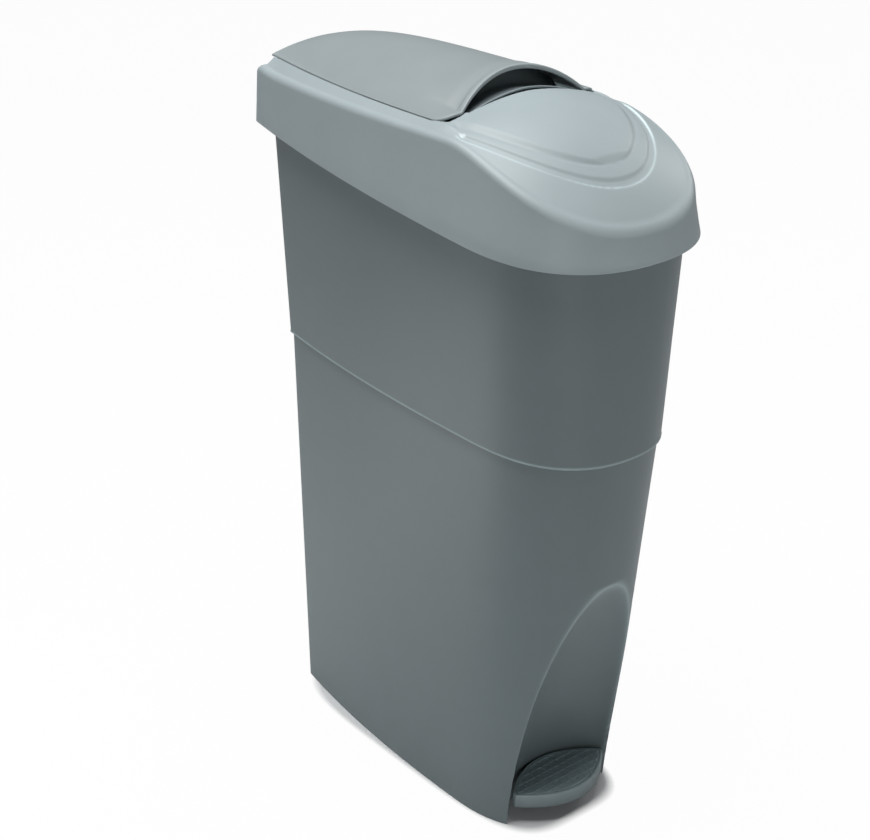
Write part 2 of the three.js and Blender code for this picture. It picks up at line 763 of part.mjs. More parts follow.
const skirtZ = rim.z - lidSize.rimCover;
const lidLevel = {
  ...grown(upperLevel(skirtZ), lidSize.overhang),
  front: upperLevel(skirtZ).front + lidSize.noseOverhang,
};
const skirtLine = (y) => rimZ(y) - lidSize.rimCover;
const lidBack = lidLevel.back;
const lidNose = -lidLevel.front;

function shoulderHeight(x, y) {
  const { rearRise, crestRise, noseRise, backRise, crestY, noseFallCurve } = lidSize;
  if (y < crestY) {
    const share = (crestY - y) / (crestY - lidNose);
    return skirtZ + mix(crestRise, noseRise, clampShare(share) ** noseFallCurve);
  }
  const side = mix(crestRise, rearRise, smooth((y - crestY) / (lidBack - crestY)));
  const across = smooth((lidSize.backShoulderX - Math.abs(x)) / lidSize.backShoulderFade);
  const atBack = smooth((y - lidBack + lidSize.backShoulderDepth) / lidSize.backShoulderDepth);
  return skirtZ + mix(side, backRise, across * atBack);
}

// How far the wall leans in from the skirt's edge up to the shoulder's round
function wallLean(x, y) {
  const draft = mix(lidSize.noseDraftShare, lidSize.rearDraftShare, clampShare(toBack(lidLevel, y)));
  return draft * (shoulderHeight(x, y) - lidSize.shoulderRound - skirtLine(y));
}

// The lid's outline drawn in by its wall's lean and by a further amount
function leaningOutline(inset, further) {
  return planOutline(grown(lidLevel, -inset)).map((p, i) => {
    const amount = inset + wallLean(p.x, p.y) + further;
    return planOutline(grown(lidLevel, -amount))[i];
  });
}

const shoulderAt = (y) => grown(lidLevel, -lidSize.shoulderRound - wallLean(lidLevel.halfWidth, y));
const shoulderHalfWidth = (y) => halfWidthAt(shoulderAt(y), y);
const shoulderFront = shoulderAt(lidNose).front;

const flapRearY = lidLevel.back - flap.rearInset;
const rearEdgeZ = skirtZ + lidSize.backRise + flap.rearEdgeLift;
const frontEdgeZ = skirtZ + lidSize.crestRise + flap.frontEdgeLift;
const alongFlap = (y) => clampShare((flapRearY - y) / (flapRearY - flap.frontY));
const flapEdgeHeight = (y) => mix(rearEdgeZ, frontEdgeZ, easeOut(alongFlap(y), 2));
const hingeY = flapRearY - hinge.inset;
const hingeZ = rearEdgeZ - hinge.drop;

function flapHalfWidth(y) {
  const margin = mix(lidSize.rearFlangeMargin, lidSize.frontFlangeMargin, alongFlap(y));
  return shoulderHalfWidth(y) - margin;
}

const hoodHalfWidth = flapHalfWidth(flap.frontY) - hood.flange;

// The lid's outer face inside its shoulder
function lidTop(x, y) {
  const shoulder = shoulderHeight(x, y);
  const halfWidth = Math.max(shoulderHalfWidth(y), seatGap);
  const across = Math.min(Math.abs(x) / halfWidth, 1);
  const fall = clampShare((flap.frontY - y) / (shoulderFront + flap.frontY));
  const mouthZ = skirtZ + lidSize.crestRise + nose.mouthLift;
  const tipZ = shoulderHeight(0, -shoulderFront);
  const crest = mix(mouthZ, tipZ, fall ** nose.fallCurve);
  const front = shoulder + Math.max(crest - shoulder, 0) * (1 - across ** nose.crossCurve);
  const edgeShare = flapHalfWidth(y) / halfWidth;
  const inward = clampShare((1 - across) / (1 - edgeShare));
  const rear = mix(shoulder, flapEdgeHeight(y), Math.sin((inward * Math.PI) / 2));
  return mix(front, rear, smooth((y - nose.blendFront) / (nose.blendBack - nose.blendFront)));
}

const hoodEdge = (x) => flap.frontY + hood.setBack * Math.max(1 - (x / hoodHalfWidth) ** 2, 0);

function flapTop(x, y) {
  const edge = flapEdgeHeight(y);
  const crown = flap.rearCrown + flap.crownRise * easeOut(alongFlap(y), flap.crownCurve);
  const panel = edge + crown * Math.max(1 - (x / flapHalfWidth(y)) ** 2, 0);
  const radius = (hoodHalfWidth ** 2 + hood.height ** 2) / (2 * hood.height);
  const drop = radius - Math.sqrt(Math.max(radius ** 2 - x ** 2, 0));
  const flangeShare = clampShare((hoodHalfWidth + hood.flange - Math.abs(x)) / hood.flange);
  const arch = edge + hood.flangeRise * flangeShare + Math.max(hood.height - drop, 0);
  const share = (hoodEdge(x) + hood.blend - y) / hood.blend;
  return mix(panel, arch, smooth(share));
}

const flapUnder = (x, y) => flapTop(x, y) - flap.skin;

// The flap's plan: across from -X to +X, along from the hinge to the front edge
function flapPlace(across, along, grow) {
  const side = 2 * across - 1;
  const frontHalf = flapHalfWidth(flap.frontY);
  const x = Math.abs(side) * frontHalf;
  const intoCorner = Math.max(x - (frontHalf - flap.cornerRadius), 0);
  const corner = flap.cornerRadius - Math.sqrt(Math.max(flap.cornerRadius ** 2 - intoCorner ** 2, 0));
  const front = hoodEdge(x) + corner;
  const y = mix(flapRearY + grow, front - grow, along);
  return { x: side * (flapHalfWidth(y) + grow), y };
}

// Push rod and what guides it, built upright at the fork pin and then leaned back

const crankPad = { y: rodCentreY(hingeZ - crank.padDrop), z: hingeZ - crank.padDrop };
const rodTop = (crankPad.z - seatGap - rod.baseZ) / Math.cos(rodTilt);
const alongRod = (z) => (z - rod.baseZ) / Math.cos(rodTilt);

function rodFoot() {
  const { footHalfWidth, footHalfDepth, footDrop, footRise, socket, slotTravel } = rod;
  const body = slab(-footHalfWidth, footHalfWidth, -footHalfDepth, footHalfDepth, -footDrop, footRise);
  const slotRadius = forkPin.radius + seatGap;
  const reach = footHalfWidth + overrun;
  return cut(
    solidOf(body),
    barX(slotRadius, -reach, reach, 0, 0),
    barX(slotRadius, -reach, reach, -slotTravel, 0),
    slab(-reach, reach, -slotTravel, 0, -slotRadius, slotRadius),
    barZ(rod.radius + seatGap, footRise - socket, footRise + overrun, 0, 0),
  );
}

const rodBottom = rod.footRise - rod.socket + seatGap;
const rodShaftTop = rodTop - rod.tipSkin - rod.tipRadius - seatGap;

function rodTip() {
  const { tipRadius, tipLength, tipSkin, radius } = rod;
  const bore = radius + seatGap;
  const domeSteps = 5;
  const profile = [[bore, rodTop - tipLength], [tipRadius, rodTop - tipLength]];
  for (let i = 0; i <= domeSteps; i++) {
    const angle = (i / domeSteps) * (Math.PI / 2);
    profile.push([tipRadius * Math.cos(angle), rodTop - tipRadius * (1 - Math.sin(angle))]);
  }
  const boreTop = rodTop - tipRadius - tipSkin;
  profile.at(-1)[0] = 0;
  profile.push([0, boreTop], [bore, boreTop], [bore, rodTop - tipLength]);
  return turned(profile, 0, 0);
}

function floorBushing() {
  const flangeZ = alongRod(floorTop) + 2 * seatGap;
  const bottom = alongRod(bodySize.floorZ);
  const bore = rod.radius + runGap;
  return turned([[bore, bottom], [floorBush.radius, bottom], [floorBush.radius, flangeZ],
    [floorBush.flangeRadius, flangeZ], [floorBush.flangeRadius, flangeZ + floorBush.flange],
    [bore, flangeZ + floorBush.flange], [bore, bottom]], 0, 0);
}

const coverBack = (base.back - bodySize.wall + rod.baseZ * Math.tan(rodTilt) - rodBaseY) * Math.cos(rodTilt)
  - cover.wallGap;
const coverTop = alongRod(ledgeZ - cover.topDrop);
const coverBottom = alongRod(floorTop) + 3 * seatGap + floorBush.flange;

function rodCover() {
  const { halfWidth, depth, wall } = cover;
  const outer = slab(-halfWidth, halfWidth, -depth, coverBack, coverBottom, coverTop);
  const hollow = slab(-halfWidth + wall, halfWidth - wall, -depth + wall, coverBack + overrun,
    coverBottom - overrun, coverTop + overrun);
  return cut(solidOf(outer), hollow);
}

function rodTopGuide() {
  const inner = cover.halfWidth - cover.wall - seatGap;
  const top = coverTop - topGuide.drop;
  const front = -cover.depth + cover.wall + seatGap;
  const body = slab(-inner, inner, front, coverBack, top - topGuide.height, top);
  return cut(solidOf(body), barZ(rod.radius + runGap, top - topGuide.height - overrun, top + overrun, 0, 0));
}

// Lid

// The lid's top runs from its shoulder to the middle in rings
const topShares = [0.1, 0.22, 0.36, 0.52, 0.7, 0.88];
const topMiddleY = (lidBack + lidNose) / 2;

function lidRings(inset, sink) {
  const round = lidSize.shoulderRound - sink;
  const bottomDrop = sink > 0 ? overrun : 0;
  const rings = [ring(lidLevel, inset, (x, y) => skirtLine(y) - bottomDrop)];
  const turns = 3;
  for (let i = 0; i <= turns; i++) {
    const angle = (i / turns) * (Math.PI / 2);
    const below = sink + round * (1 - Math.sin(angle));
    rings.push(leaningOutline(inset, round * (1 - Math.cos(angle))).map(
      (p) => new THREE.Vector3(p.x, p.y, shoulderHeight(p.x, p.y) - below),
    ));
  }
  const rimOfTop = rings.at(-1);
  for (const share of topShares) {
    rings.push(rimOfTop.map((p) => {
      const x = p.x * (1 - share);
      const y = mix(p.y, topMiddleY, share);
      return new THREE.Vector3(x, y, lidTop(x, y) - sink);
    }));
  }
  return rings;
}

const domeWidth = (y) => {
  const share = clampShare((dome.centreY - y) / dome.length);
  return dome.halfWidth * Math.sqrt(1 - share ** dome.taper);
};

function domeRise() {
  const front = dome.centreY - dome.length;
  const place = (across, along) => {
    const y = mix(flap.frontY - flap.gap, front, Math.sin((along * Math.PI) / 2));
    return { x: (2 * across - 1) * domeWidth(y), y };
  };
  const top = (x, y) => {
    const margin = Math.min(domeWidth(y) - Math.abs(x), y - front);
    return lidTop(x, y) - dome.sink + (dome.raise + dome.sink) * smooth(margin / dome.edge);
  };
  return plate(place, top, (x, y) => lidTop(x, y) - dome.root, 16, 9);
}

function grooveCut() {
  const points = [];
  const span = 1 - groove.startShare;
  for (let i = 0; i < groove.points; i++) {
    const angle = ((2 * i) / (groove.points - 1) - 1) * span * (Math.PI / 2);
    const x = groove.halfWidth * Math.sin(angle);
    const y = groove.centreY - groove.length * Math.cos(angle);
    points.push(new THREE.Vector3(x, y, lidTop(x, y) + groove.radius - groove.depth));
  }
  const section = new THREE.Shape().absarc(0, 0, groove.radius, 0, 2 * Math.PI);
  const path = new THREE.CatmullRomCurve3(points);
  const size = { steps: 28, curveSegments: 3, bevelEnabled: false, extrudePath: path };
  return new THREE.ExtrudeGeometry(section, size);
}

// Ribs under the skirt that hang the lid on the body's rim
function lidRibs() {
  const ribs = [];
  const hang = (y) => rimZ(y) + seatGap;
  const inside = (draft) => lidSize.wall + draft * (lidSize.rimCover + seatGap) - rib.skirtBite;
  for (const share of rib.placeShares) {
    const y = mix(rim.back, -rim.front, share);
    const z0 = hang(y + rib.width / 2);
    const draft = mix(lidSize.rearDraftShare, lidSize.noseDraftShare, share);
    const skirtX = halfWidthAt(lidLevel, y) - inside(draft);
    const rimX = halfWidthAt(rim, y);
    for (const side of [-1, 1]) {
      const inner = side * (rimX - rib.reach);
      const outer = side * skirtX;
      ribs.push(slab(Math.min(inner, outer), Math.max(inner, outer), y - rib.width / 2, y + rib.width / 2,
        z0, z0 + rib.height));
    }
  }
  const noseIn = -rim.front + rib.reach;
  const noseOut = lidNose + inside(lidSize.noseDraftShare);
  ribs.push(slab(-rib.width / 2, rib.width / 2, noseOut, noseIn, hang(noseIn), hang(noseIn) + rib.height));
  for (const side of [-1, 1]) {
    const x = side * lug.outerX;
    const backOut = lidBack - inside(lidSize.rearDraftShare);
    ribs.push(slab(x - rib.width / 2, x + rib.width / 2, rim.back - rib.reach, backOut, hang(rim.back),
      hang(rim.back) + rib.height));
  }
  return ribs;
}

const ledgeTop = (x, y) => flapEdgeHeight(y) - flap.skin - ledge.bumper;

function ledgeBar(side) {
  const place = (across, along) => {
    const y = mix(hingeY - ledge.fromHinge, flap.frontY + ledge.fromFront, along);
    const edge = flapHalfWidth(y) + flap.gap;
    return { x: side * mix(edge - ledge.width, edge + ledge.root, across), y };
  };
  const bottom = (x, y) => ledgeTop(x, y) - ledge.depth;
  return plate(place, (x, y) => lidTop(x, y) - lidSize.wall / 2, bottom, 2, 10);
}

function hingeLugs() {
  const pieces = [];
  for (const place of [lug.innerX, lug.outerX]) {
    for (const side of [-1, 1]) {
      const x0 = side * place - lug.width / 2;
      const x1 = x0 + lug.width;
      pieces.push(barX(hinge.knuckleRadius, x0, x1, hingeY, hingeZ));
      pieces.push(slab(x0, x1, hingeY - lug.front, hingeY + lug.back, hingeZ - lug.foot, hingeZ));
    }
  }
  return pieces;
}

const bumperPlace = (side) => {
  const y = flap.frontY + bumper.fromFront;
  return { x: side * (flapHalfWidth(y) - bumper.inset - bumper.radius / 2), y };
};

function lidFrame() {
  let lid = solidOf(loft(lidRings(0, 0)));
  lid = cut(lid, loft(lidRings(lidSize.wall, lidSize.wall)));
  lid = lid.add(solidOf(domeRise()));
  lid = cut(lid, grooveCut());
  lid = lid.add(joined(ledgeBar(-1), ledgeBar(1)));
  const high = frontEdgeZ + hood.height + hood.blend;
  const opening = plate((u, v) => flapPlace(u, v, flap.gap), () => high, ledgeTop, 20, 16);
  const mouth = plate(
    (u, v) => {
      const x = mix(-pocketHalfWidth, pocketHalfWidth, u);
      return { x, y: mix(flap.frontY + hood.setBack, pocketRim(x) - pocket.mouthGap, v) };
    },
    () => high,
    ledgeTop,
    16,
    1,
  );
  lid = lid.subtract(solidOf(opening)).subtract(solidOf(mouth));
  const slot = slab(-hingeSlot.halfWidth, hingeSlot.halfWidth, flapRearY - hingeSlot.depth,
    lidLevel.back + overrun, hingeZ - Math.max(hinge.knuckleRadius, crank.padDrop) - hingeSlot.clearance, high);
  lid = cut(lid, slot).add(joined(...hingeLugs(), ...lidRibs()));
  lid = cut(lid, barX(hinge.pinRadius + runGap, -hingeSlot.halfWidth, hingeSlot.halfWidth, hingeY, hingeZ));
  for (const side of [-1, 1]) {
    const { x, y } = bumperPlace(side);
    const z = ledgeTop(x, y);
    lid = cut(lid, barZ(bumper.stemRadius + seatGap, z - bumper.stem - seatGap, z + overrun, x, y));
  }
  return lid;
}

const pinHalf = lug.outerX + lug.width / 2 + seatGap;

function flapBumper(side) {
  const { x, y } = bumperPlace(side);
  const bottom = ledgeTop(x, y) + seatGap;
  const top = Math.min(flapUnder(x, y - bumper.radius), flapUnder(x, y + bumper.radius),
    flapUnder(Math.abs(x) + bumper.radius, y)) - seatGap;
  const { radius, stemRadius, stem } = bumper;
  return turned([[0, bottom - stem], [stemRadius, bottom - stem], [stemRadius, bottom], [radius, bottom],
    [radius, top], [0, top]], x, y, smallCount);
}

// Flap

const crankScrewRows = [hingeY - crankScrew.front, hingeY - crankScrew.rear];
const trayScrewY = hingeY - trayScrew.ahead;

function flapPanel() {
  const panel = plate((u, v) => flapPlace(u, v, 0), flapTop, flapUnder, 20, 16);
  const webs = [-1, 1].flatMap((side) => {
    const x0 = side * knuckle.x - knuckle.width / 2;
    const x1 = x0 + knuckle.width;
    const webTop = Math.min(flapTop(x0, hingeY), flapTop(x1, hingeY)) - flap.skin / 2;
    return [
      barX(hinge.knuckleRadius, x0, x1, hingeY, hingeZ),
      slab(x0, x1, hingeY - knuckle.web, flapRearY - seatGap, hingeZ, webTop),
    ];
  });
  let solid = joined(panel, ...webs);
  solid = cut(solid, barX(hinge.pinRadius + runGap, -hingeSlot.halfWidth, hingeSlot.halfWidth, hingeY, hingeZ));
  for (const y of crankScrewRows) {
    const under = flapUnder(0, y);
    solid = cut(solid, barZ(crankScrew.shankRadius + seatGap, under - flap.skin, under + crankScrew.bite, 0, y));
  }
  for (const side of [-1, 1]) {
    const x = side * trayScrew.x;
    const under = flapUnder(x, trayScrewY);
    solid = cut(solid, barZ(trayScrew.shankRadius + seatGap, under - flap.skin, under + trayScrew.bite,
      x, trayScrewY));
  }
  return solid;
}

const pocketHalfWidth = hoodHalfWidth - pocket.sideInset;
const hoodBow = (x) => Math.max(1 - (x / hoodHalfWidth) ** 2, 0);
const pocketRim = (x) => flap.frontY - pocket.rimAhead + pocket.rimBow * hoodBow(x);

function fingerPocket() {
  const place = (across, along) => {
    const x = mix(-pocketHalfWidth, pocketHalfWidth, across);
    return { x, y: pocketRim(x) + pocket.depth * along };
  };
  const top = (x, y) => {
    const along = (y - pocketRim(x)) / pocket.depth;
    const floor = lidTop(x, pocketRim(x) - pocket.mouthGap) - pocket.rimSink + pocket.rimLift * hoodBow(x)
      - pocket.sag * Math.sin(clampShare(along) * Math.PI);
    const roof = flapUnder(x, y) - pocket.roofGap;
    const upturn = smooth((along - pocket.upturnShare) / (1 - pocket.upturnShare));
    return Math.min(mix(floor, roof, upturn), roof);
  };
  return plate(place, top, (x, y) => top(x, y) - pocket.skin, 16, 9);
}

const underSeat = (x, y) => flapUnder(x, y) - seatGap;

function flapCrank() {
  const { halfWidth, flange, padLength, armHeight } = crank;
  const ahead = (from, to, share) => hingeY - mix(from, to, share);
  const across = (u) => mix(-halfWidth, halfWidth, u);
  const seat = plate((u, v) => ({ x: across(u), y: ahead(crank.flangeFront, crank.flangeBack, v) }), underSeat,
    (x, y) => underSeat(x, y) - flange, 2, 5);
  const post = plate((u, v) => ({ x: across(u), y: ahead(crank.postFront, crank.postBack, v) }),
    (x, y) => underSeat(x, y) - flange / 2, () => crankPad.z + armHeight / 2, 2, 2);
  const arm = slab(-halfWidth, halfWidth, crankPad.y - padLength / 2, hingeY, crankPad.z, crankPad.z + armHeight);
  const hub = barX(hinge.knuckleRadius, -halfWidth, halfWidth, hingeY, hingeZ);
  let solid = joined(seat, post, arm, hub);
    solid = cut(solid, barX(hinge.pinRadius + runGap, -halfWidth - overrun, halfWidth + overrun, hingeY, hingeZ));
  for (const y of crankScrewRows) {
    const seatBottom = underSeat(0, y) - flange - overrun;
    solid = cut(solid, barZ(crankScrew.shankRadius + seatGap, seatBottom, flapTop(0, y), 0, y));
  }
  return solid;
}

function crankScrewAt(y) {
  const under = underSeat(0, y) - crank.flange;
  const reach = crankScrew.headRadius;
  const lowest = Math.min(under, underSeat(0, y + reach) - crank.flange, underSeat(0, y - reach) - crank.flange);
  return screwUp(crankScrew, 0, y, lowest - seatGap, flapUnder(0, y) + crankScrew.bite - seatGap);
}

const heelZ = hingeZ - tray.heelDrop;

// The tray's side profile, from the seat under the flap round to its lip
function trayCurve() {
  const at = (ahead, drop) => new THREE.Vector3(0, hingeY - ahead, hingeZ - drop);
  const seat = (ahead) => new THREE.Vector3(0, hingeY - ahead, underSeat(0, hingeY - ahead));
  const [front, back] = [seat(tray.flangeFront), seat(tray.flangeBack)];
  const corner = new THREE.Vector3(0, hingeY - tray.heelAhead, back.z);
  const heelTop = new THREE.Vector3(0, corner.y, back.z - tray.bend);
  const curve = new THREE.CurvePath();
  curve.add(new THREE.LineCurve3(front, back));
  curve.add(new THREE.QuadraticBezierCurve3(back, corner, heelTop));
  curve.add(new THREE.CatmullRomCurve3([
    heelTop,
    at(tray.heelAhead, tray.heelDrop),
    at(tray.bellyAhead, tray.bellyDrop),
    at(tray.floorAhead, tray.floorDrop),
    at(tray.lipAhead, tray.lipDrop),
  ]));
  return curve;
}

function modestyTray() {
  const curve = trayCurve();
  const face = (offset) => (across, along) => {
    const point = curve.getPoint(along);
    const tangent = curve.getTangent(along);
    const x = mix(-tray.halfWidth, tray.halfWidth, across);
    const y = point.y - tangent.z * offset;
    const z = point.z + tangent.y * offset;
    const seated = smooth((z - heelZ) / (underSeat(0, hingeY - tray.flangeBack) - heelZ));
    return new THREE.Vector3(x, y, z + seated * (underSeat(x, y) - underSeat(0, y)));
  };
  let solid = solidOf(skin(face(0), face(-tray.skin), 8, 24));
  const dish = curve.getPoints(28).filter((p) => p.z < heelZ).map((p) => [p.y, p.z]);
  const [lipY, lipZ] = dish.at(-1);
  const floorZ = hingeZ - tray.floorDrop;
  const outline = [...dish, [lipY, lipZ + tray.cheek], [hingeY - tray.floorAhead, floorZ + tray.cheekRise],
    [dish[0][0] - tray.cheek, dish[0][1]]];
  for (const side of [-1, 1]) {
    const x0 = side > 0 ? tray.halfWidth - tray.cheek : -tray.halfWidth;
    solid = solid.add(solidOf(profileX(outline, x0, x0 + tray.cheek)));
  }
  for (const side of [-1, 1]) {
    const x = side * trayScrew.x;
    solid = cut(solid, barZ(trayScrew.shankRadius + seatGap, heelZ, flapTop(x, trayScrewY), x, trayScrewY));
  }
  return solid;
}

function trayScrewAt(side) {
  const x = side * trayScrew.x;
  const top = underSeat(x, trayScrewY) - tray.skin - trayScrew.headGap;
  return screwUp(trayScrew, x, trayScrewY, top, flapUnder(x, trayScrewY) + trayScrew.bite - seatGap);
}

// The assembly

const container = new THREE.Group();

container.add(
  named('body_shell', bodyShell(), darkPlastic),
  named('bag_ring', bagHoop(), blackPlastic),
  named('pivot_axle', barX(axle.radius, -axleHalf + seatGap, axleHalf - seatGap, pivot.y, pivot.z), steel),
  named('pivot_block_left', pivotBlock(-1), blackPlastic),
  named('pivot_block_right', pivotBlock(1), blackPlastic),
  named('axle_cap_left', axleEndCap(-1), blackPlastic),
  named('axle_cap_right', axleEndCap(1), blackPlastic),
);
for (const [place, x, y] of footPlaces) {
  container.add(named(`rubber_foot_${place}`, rubberFoot(x, y), rubber));
}
for (const [place, x, y] of blockScrewPlaces) {
  const headTop = bodySize.floorZ - 2 * seatGap - block.flange;
  const shankTop = bodySize.floorZ + blockScrew.bite;
  container.add(named(`block_screw_${place}`, screwUp(blockScrew, x, y, headTop, shankTop), steel));
}

const pedalGroup = new THREE.Group();
const pinReach = lever.rearHalfWidth + forkPin.overhang;
pedalGroup.add(
  named('pedal_plate', pedalPlate(), darkPlastic),
  named('tread_pad', treadPad(), treadRubber),
  named('pedal_lever', pedalLever(), blackPlastic),
  named('lever_bush_left', leverBush(-1), lightPlastic),
  named('lever_bush_right', leverBush(1), lightPlastic),
  named('fork_pin', barX(forkPin.radius, -pinReach, pinReach, rodBaseY, rod.baseZ), steel),
);
for (const [place, side] of [['left', -1], ['right', 1]]) {
  const shankTop = pedal.topZ - pedal.skin + pedalScrew.bite;
  const screw = screwUp(pedalScrew, side * pedalScrew.x, pedalScrewY, lever.bottomZ - seatGap, shankTop);
  pedalGroup.add(named(`pedal_screw_${place}`, screw, steel));
}
container.add(pedalGroup);

const rodLine = new THREE.Group();
rodLine.position.set(0, rodBaseY, rod.baseZ);
rodLine.rotation.x = -rodTilt;
rodLine.add(
  named('push_rod', barZ(rod.radius, rodBottom, rodShaftTop, 0, 0), steel),
  named('rod_foot', rodFoot(), blackPlastic),
  named('rod_tip', rodTip(), blackPlastic),
  named('rod_floor_bush', floorBushing(), blackPlastic),
  named('rod_cover', rodCover(), darkPlastic),
  named('rod_top_guide', rodTopGuide(), blackPlastic),
);
container.add(rodLine);

const lidGroup = new THREE.Group();
lidGroup.add(
  named('lid_frame', lidFrame(), lightPlastic),
  named('hinge_pin', barX(hinge.pinRadius, -pinHalf, pinHalf, hingeY, hingeZ), steel),
  named('flap_bumper_left', flapBumper(-1), rubber),
  named('flap_bumper_right', flapBumper(1), rubber),
);
const flapGroup = new THREE.Group();
flapGroup.add(
  named('flap_panel', flapPanel(), flapPlastic),
  named('finger_pocket', fingerPocket(), pocketPlastic),
  named('flap_crank', flapCrank(), blackPlastic),
  named('crank_screw_front', crankScrewAt(crankScrewRows[0]), steel),
  named('crank_screw_rear', crankScrewAt(crankScrewRows[1]), steel),
  named('modesty_tray', modestyTray(), flapPlastic),
  named('tray_screw_left', trayScrewAt(-1), steel),
  named('tray_screw_right', trayScrewAt(1), steel),
);
lidGroup.add(flapGroup);
container.add(lidGroup);
container.position.y = (lidLevel.front - lidLevel.back) / 2;

export default container;
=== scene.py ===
"""Looks of a slim pedal bin for sanitary waste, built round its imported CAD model.

Sizes are in millimetres about the body's middle, +Z up, nose and pedal at -Y, and become metres in
the CAD frame in the meshes. Each sub-assembly is a class that builds its pieces and dresses them.
"""
import json
import logging
import math
from collections.abc import Callable
from dataclasses import dataclass, replace
from enum import Enum, IntEnum

import bmesh
import bpy
import numpy as np
from mathutils import Matrix, Vector


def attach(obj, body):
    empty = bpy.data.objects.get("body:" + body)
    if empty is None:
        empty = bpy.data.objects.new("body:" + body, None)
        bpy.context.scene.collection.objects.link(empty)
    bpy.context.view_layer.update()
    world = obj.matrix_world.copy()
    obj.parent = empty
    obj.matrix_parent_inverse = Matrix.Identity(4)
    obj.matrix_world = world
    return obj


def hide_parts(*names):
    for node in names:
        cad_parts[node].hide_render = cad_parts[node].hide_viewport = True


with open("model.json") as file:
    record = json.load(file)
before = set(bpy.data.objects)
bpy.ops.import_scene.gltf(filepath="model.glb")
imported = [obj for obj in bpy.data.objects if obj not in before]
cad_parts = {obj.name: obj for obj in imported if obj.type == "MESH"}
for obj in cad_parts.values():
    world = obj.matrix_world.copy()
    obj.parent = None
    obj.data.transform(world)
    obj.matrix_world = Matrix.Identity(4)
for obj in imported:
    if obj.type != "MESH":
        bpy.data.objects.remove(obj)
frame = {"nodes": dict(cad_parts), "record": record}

log = logging.getLogger("bin")
Array = np.ndarray
Numbers = float | Array
Row = Callable[[Array], Array]
Height = Callable[[Array, Array], Array]
Plan = Callable[[Array, Array], tuple[Array, Array]]
Colour = tuple[float, float, float]
Point = tuple[float, float, float]
Materials = dict[str, bpy.types.Material]

METRES_PER_MM = 0.001
BODY_MIDDLE_Y = -2.0304  # in the CAD frame, whose origin is the middle of the whole box
WEAR_AND_HIGHLIGHT_MASK = "edge"  # vertex mask of worn edges and lips, and of painted highlights along the body's step line and the lid's groove
EDGE_FADE = 1.2  # how far that mask reaches in from a skin's border
WELD_METRES = 2e-6
SLIVER_METRES = 1e-6
ROUND_SIDES = 40
ABOVE_ALL = 680.0  # a height over the whole bin, where cutting tools end
FAR_AWAY = 1e4
TINY = 1e-6


class Cut(Enum):
    """How a tool solid meets a piece."""

    JOIN = "UNION"
    REMOVE = "DIFFERENCE"


class Stretch(IntEnum):
    """The stretches of half an outline, from the middle of the back to the nose."""

    FLAT = 0
    CORNER = 1
    SIDE = 2
    NOSE = 3


def mix(low: Numbers, high: Numbers, share: Numbers) -> Numbers:
    """Returns the value at a share of the way from low to high."""
    return low + (high - low) * share


def clamp(value: Numbers) -> Numbers:
    """Returns the value held between 0 and 1."""
    return np.clip(value, 0.0, 1.0)


def smooth(value: Numbers) -> Numbers:
    """Returns a soft step from 0 to 1."""
    held = clamp(value)
    return held * held * (3 - 2 * held)


def ease_out(share: Numbers, curve: float) -> Numbers:
    """Returns a share that rises fast at first and then levels out."""
    return 1 - (1 - clamp(share)) ** curve


def soft_lower(first: Array, second: Array, width: float) -> Array:
    """Returns the lower of two values, rounded over a width where they cross."""
    share = clamp(0.5 + 0.5 * (second - first) / width)
    return mix(second, first, share) - width * share * (1 - share)


def quarter_turn(count: int) -> list[float]:
    """Returns evenly spaced angles from 0 to a right angle."""
    return [step / (count - 1) * math.pi / 2 for step in range(count)]


def level_row(z: float) -> Row:
    """Returns the height of a row that is level, as a function of y."""
    return lambda y: z + 0 * y


@dataclass(frozen=True)
class Level:
    """The bin's plan outline at a height. Every field may be an array, one value for each point."""

    z: Numbers
    half_width: Numbers
    back: Numbers
    front: Numbers
    narrow: Numbers
    widest: Numbers
    side_curve: float = 2.3
    nose_curve: float = 2.9
    nose_round: float = 2.27

    def grown(self, amount: Numbers) -> "Level":
        """Returns the outline moved outwards by an amount."""
        return replace(
            self,
            half_width=self.half_width + amount,
            back=self.back + amount,
            front=self.front + amount,
        )

    def toward(self, other: "Level", z: Numbers) -> "Level":
        """Returns the outline on the wall between this level and another one.

        Args:
            other: The outline at the wall's other end.
            z: The height of the outline that is wanted.
        Returns:
            The outline at that height.
        """
        share = (z - self.z) / (other.z - self.z)
        return Level(
            z,
            mix(self.half_width, other.half_width, share),
            mix(self.back, other.back, share),
            mix(self.front, other.front, share),
            mix(self.narrow, other.narrow, share),
            mix(self.widest, other.widest, share),
        )

    def to_back(self, y: Numbers) -> Numbers:
        """Returns how far y is from the nose towards the back, from 0 to 1."""
        return (y + self.front) / (self.front + self.back)

    def half_width_at_share(self, share: Numbers) -> Numbers:
        """Returns half the width at a share of the length.

        Args:
            share: The place, from 0 at the back to 1 at the nose.
        Returns:
            Half the width there.
        """
        side = clamp((self.widest - share) / self.widest)
        nose = clamp((share - self.widest) / (1 - self.widest))
        narrowed = 1 - self.narrow * side**self.side_curve
        rounded = clamp(1 - nose**self.nose_curve) ** (1 / self.nose_round)
        return self.half_width * np.where(share <= self.widest, narrowed, rounded)

    def half_width_at(self, y: Numbers) -> Numbers:
        """Returns half the width at y."""
        return self.half_width_at_share(clamp((self.back - y) / (self.back + self.front)))


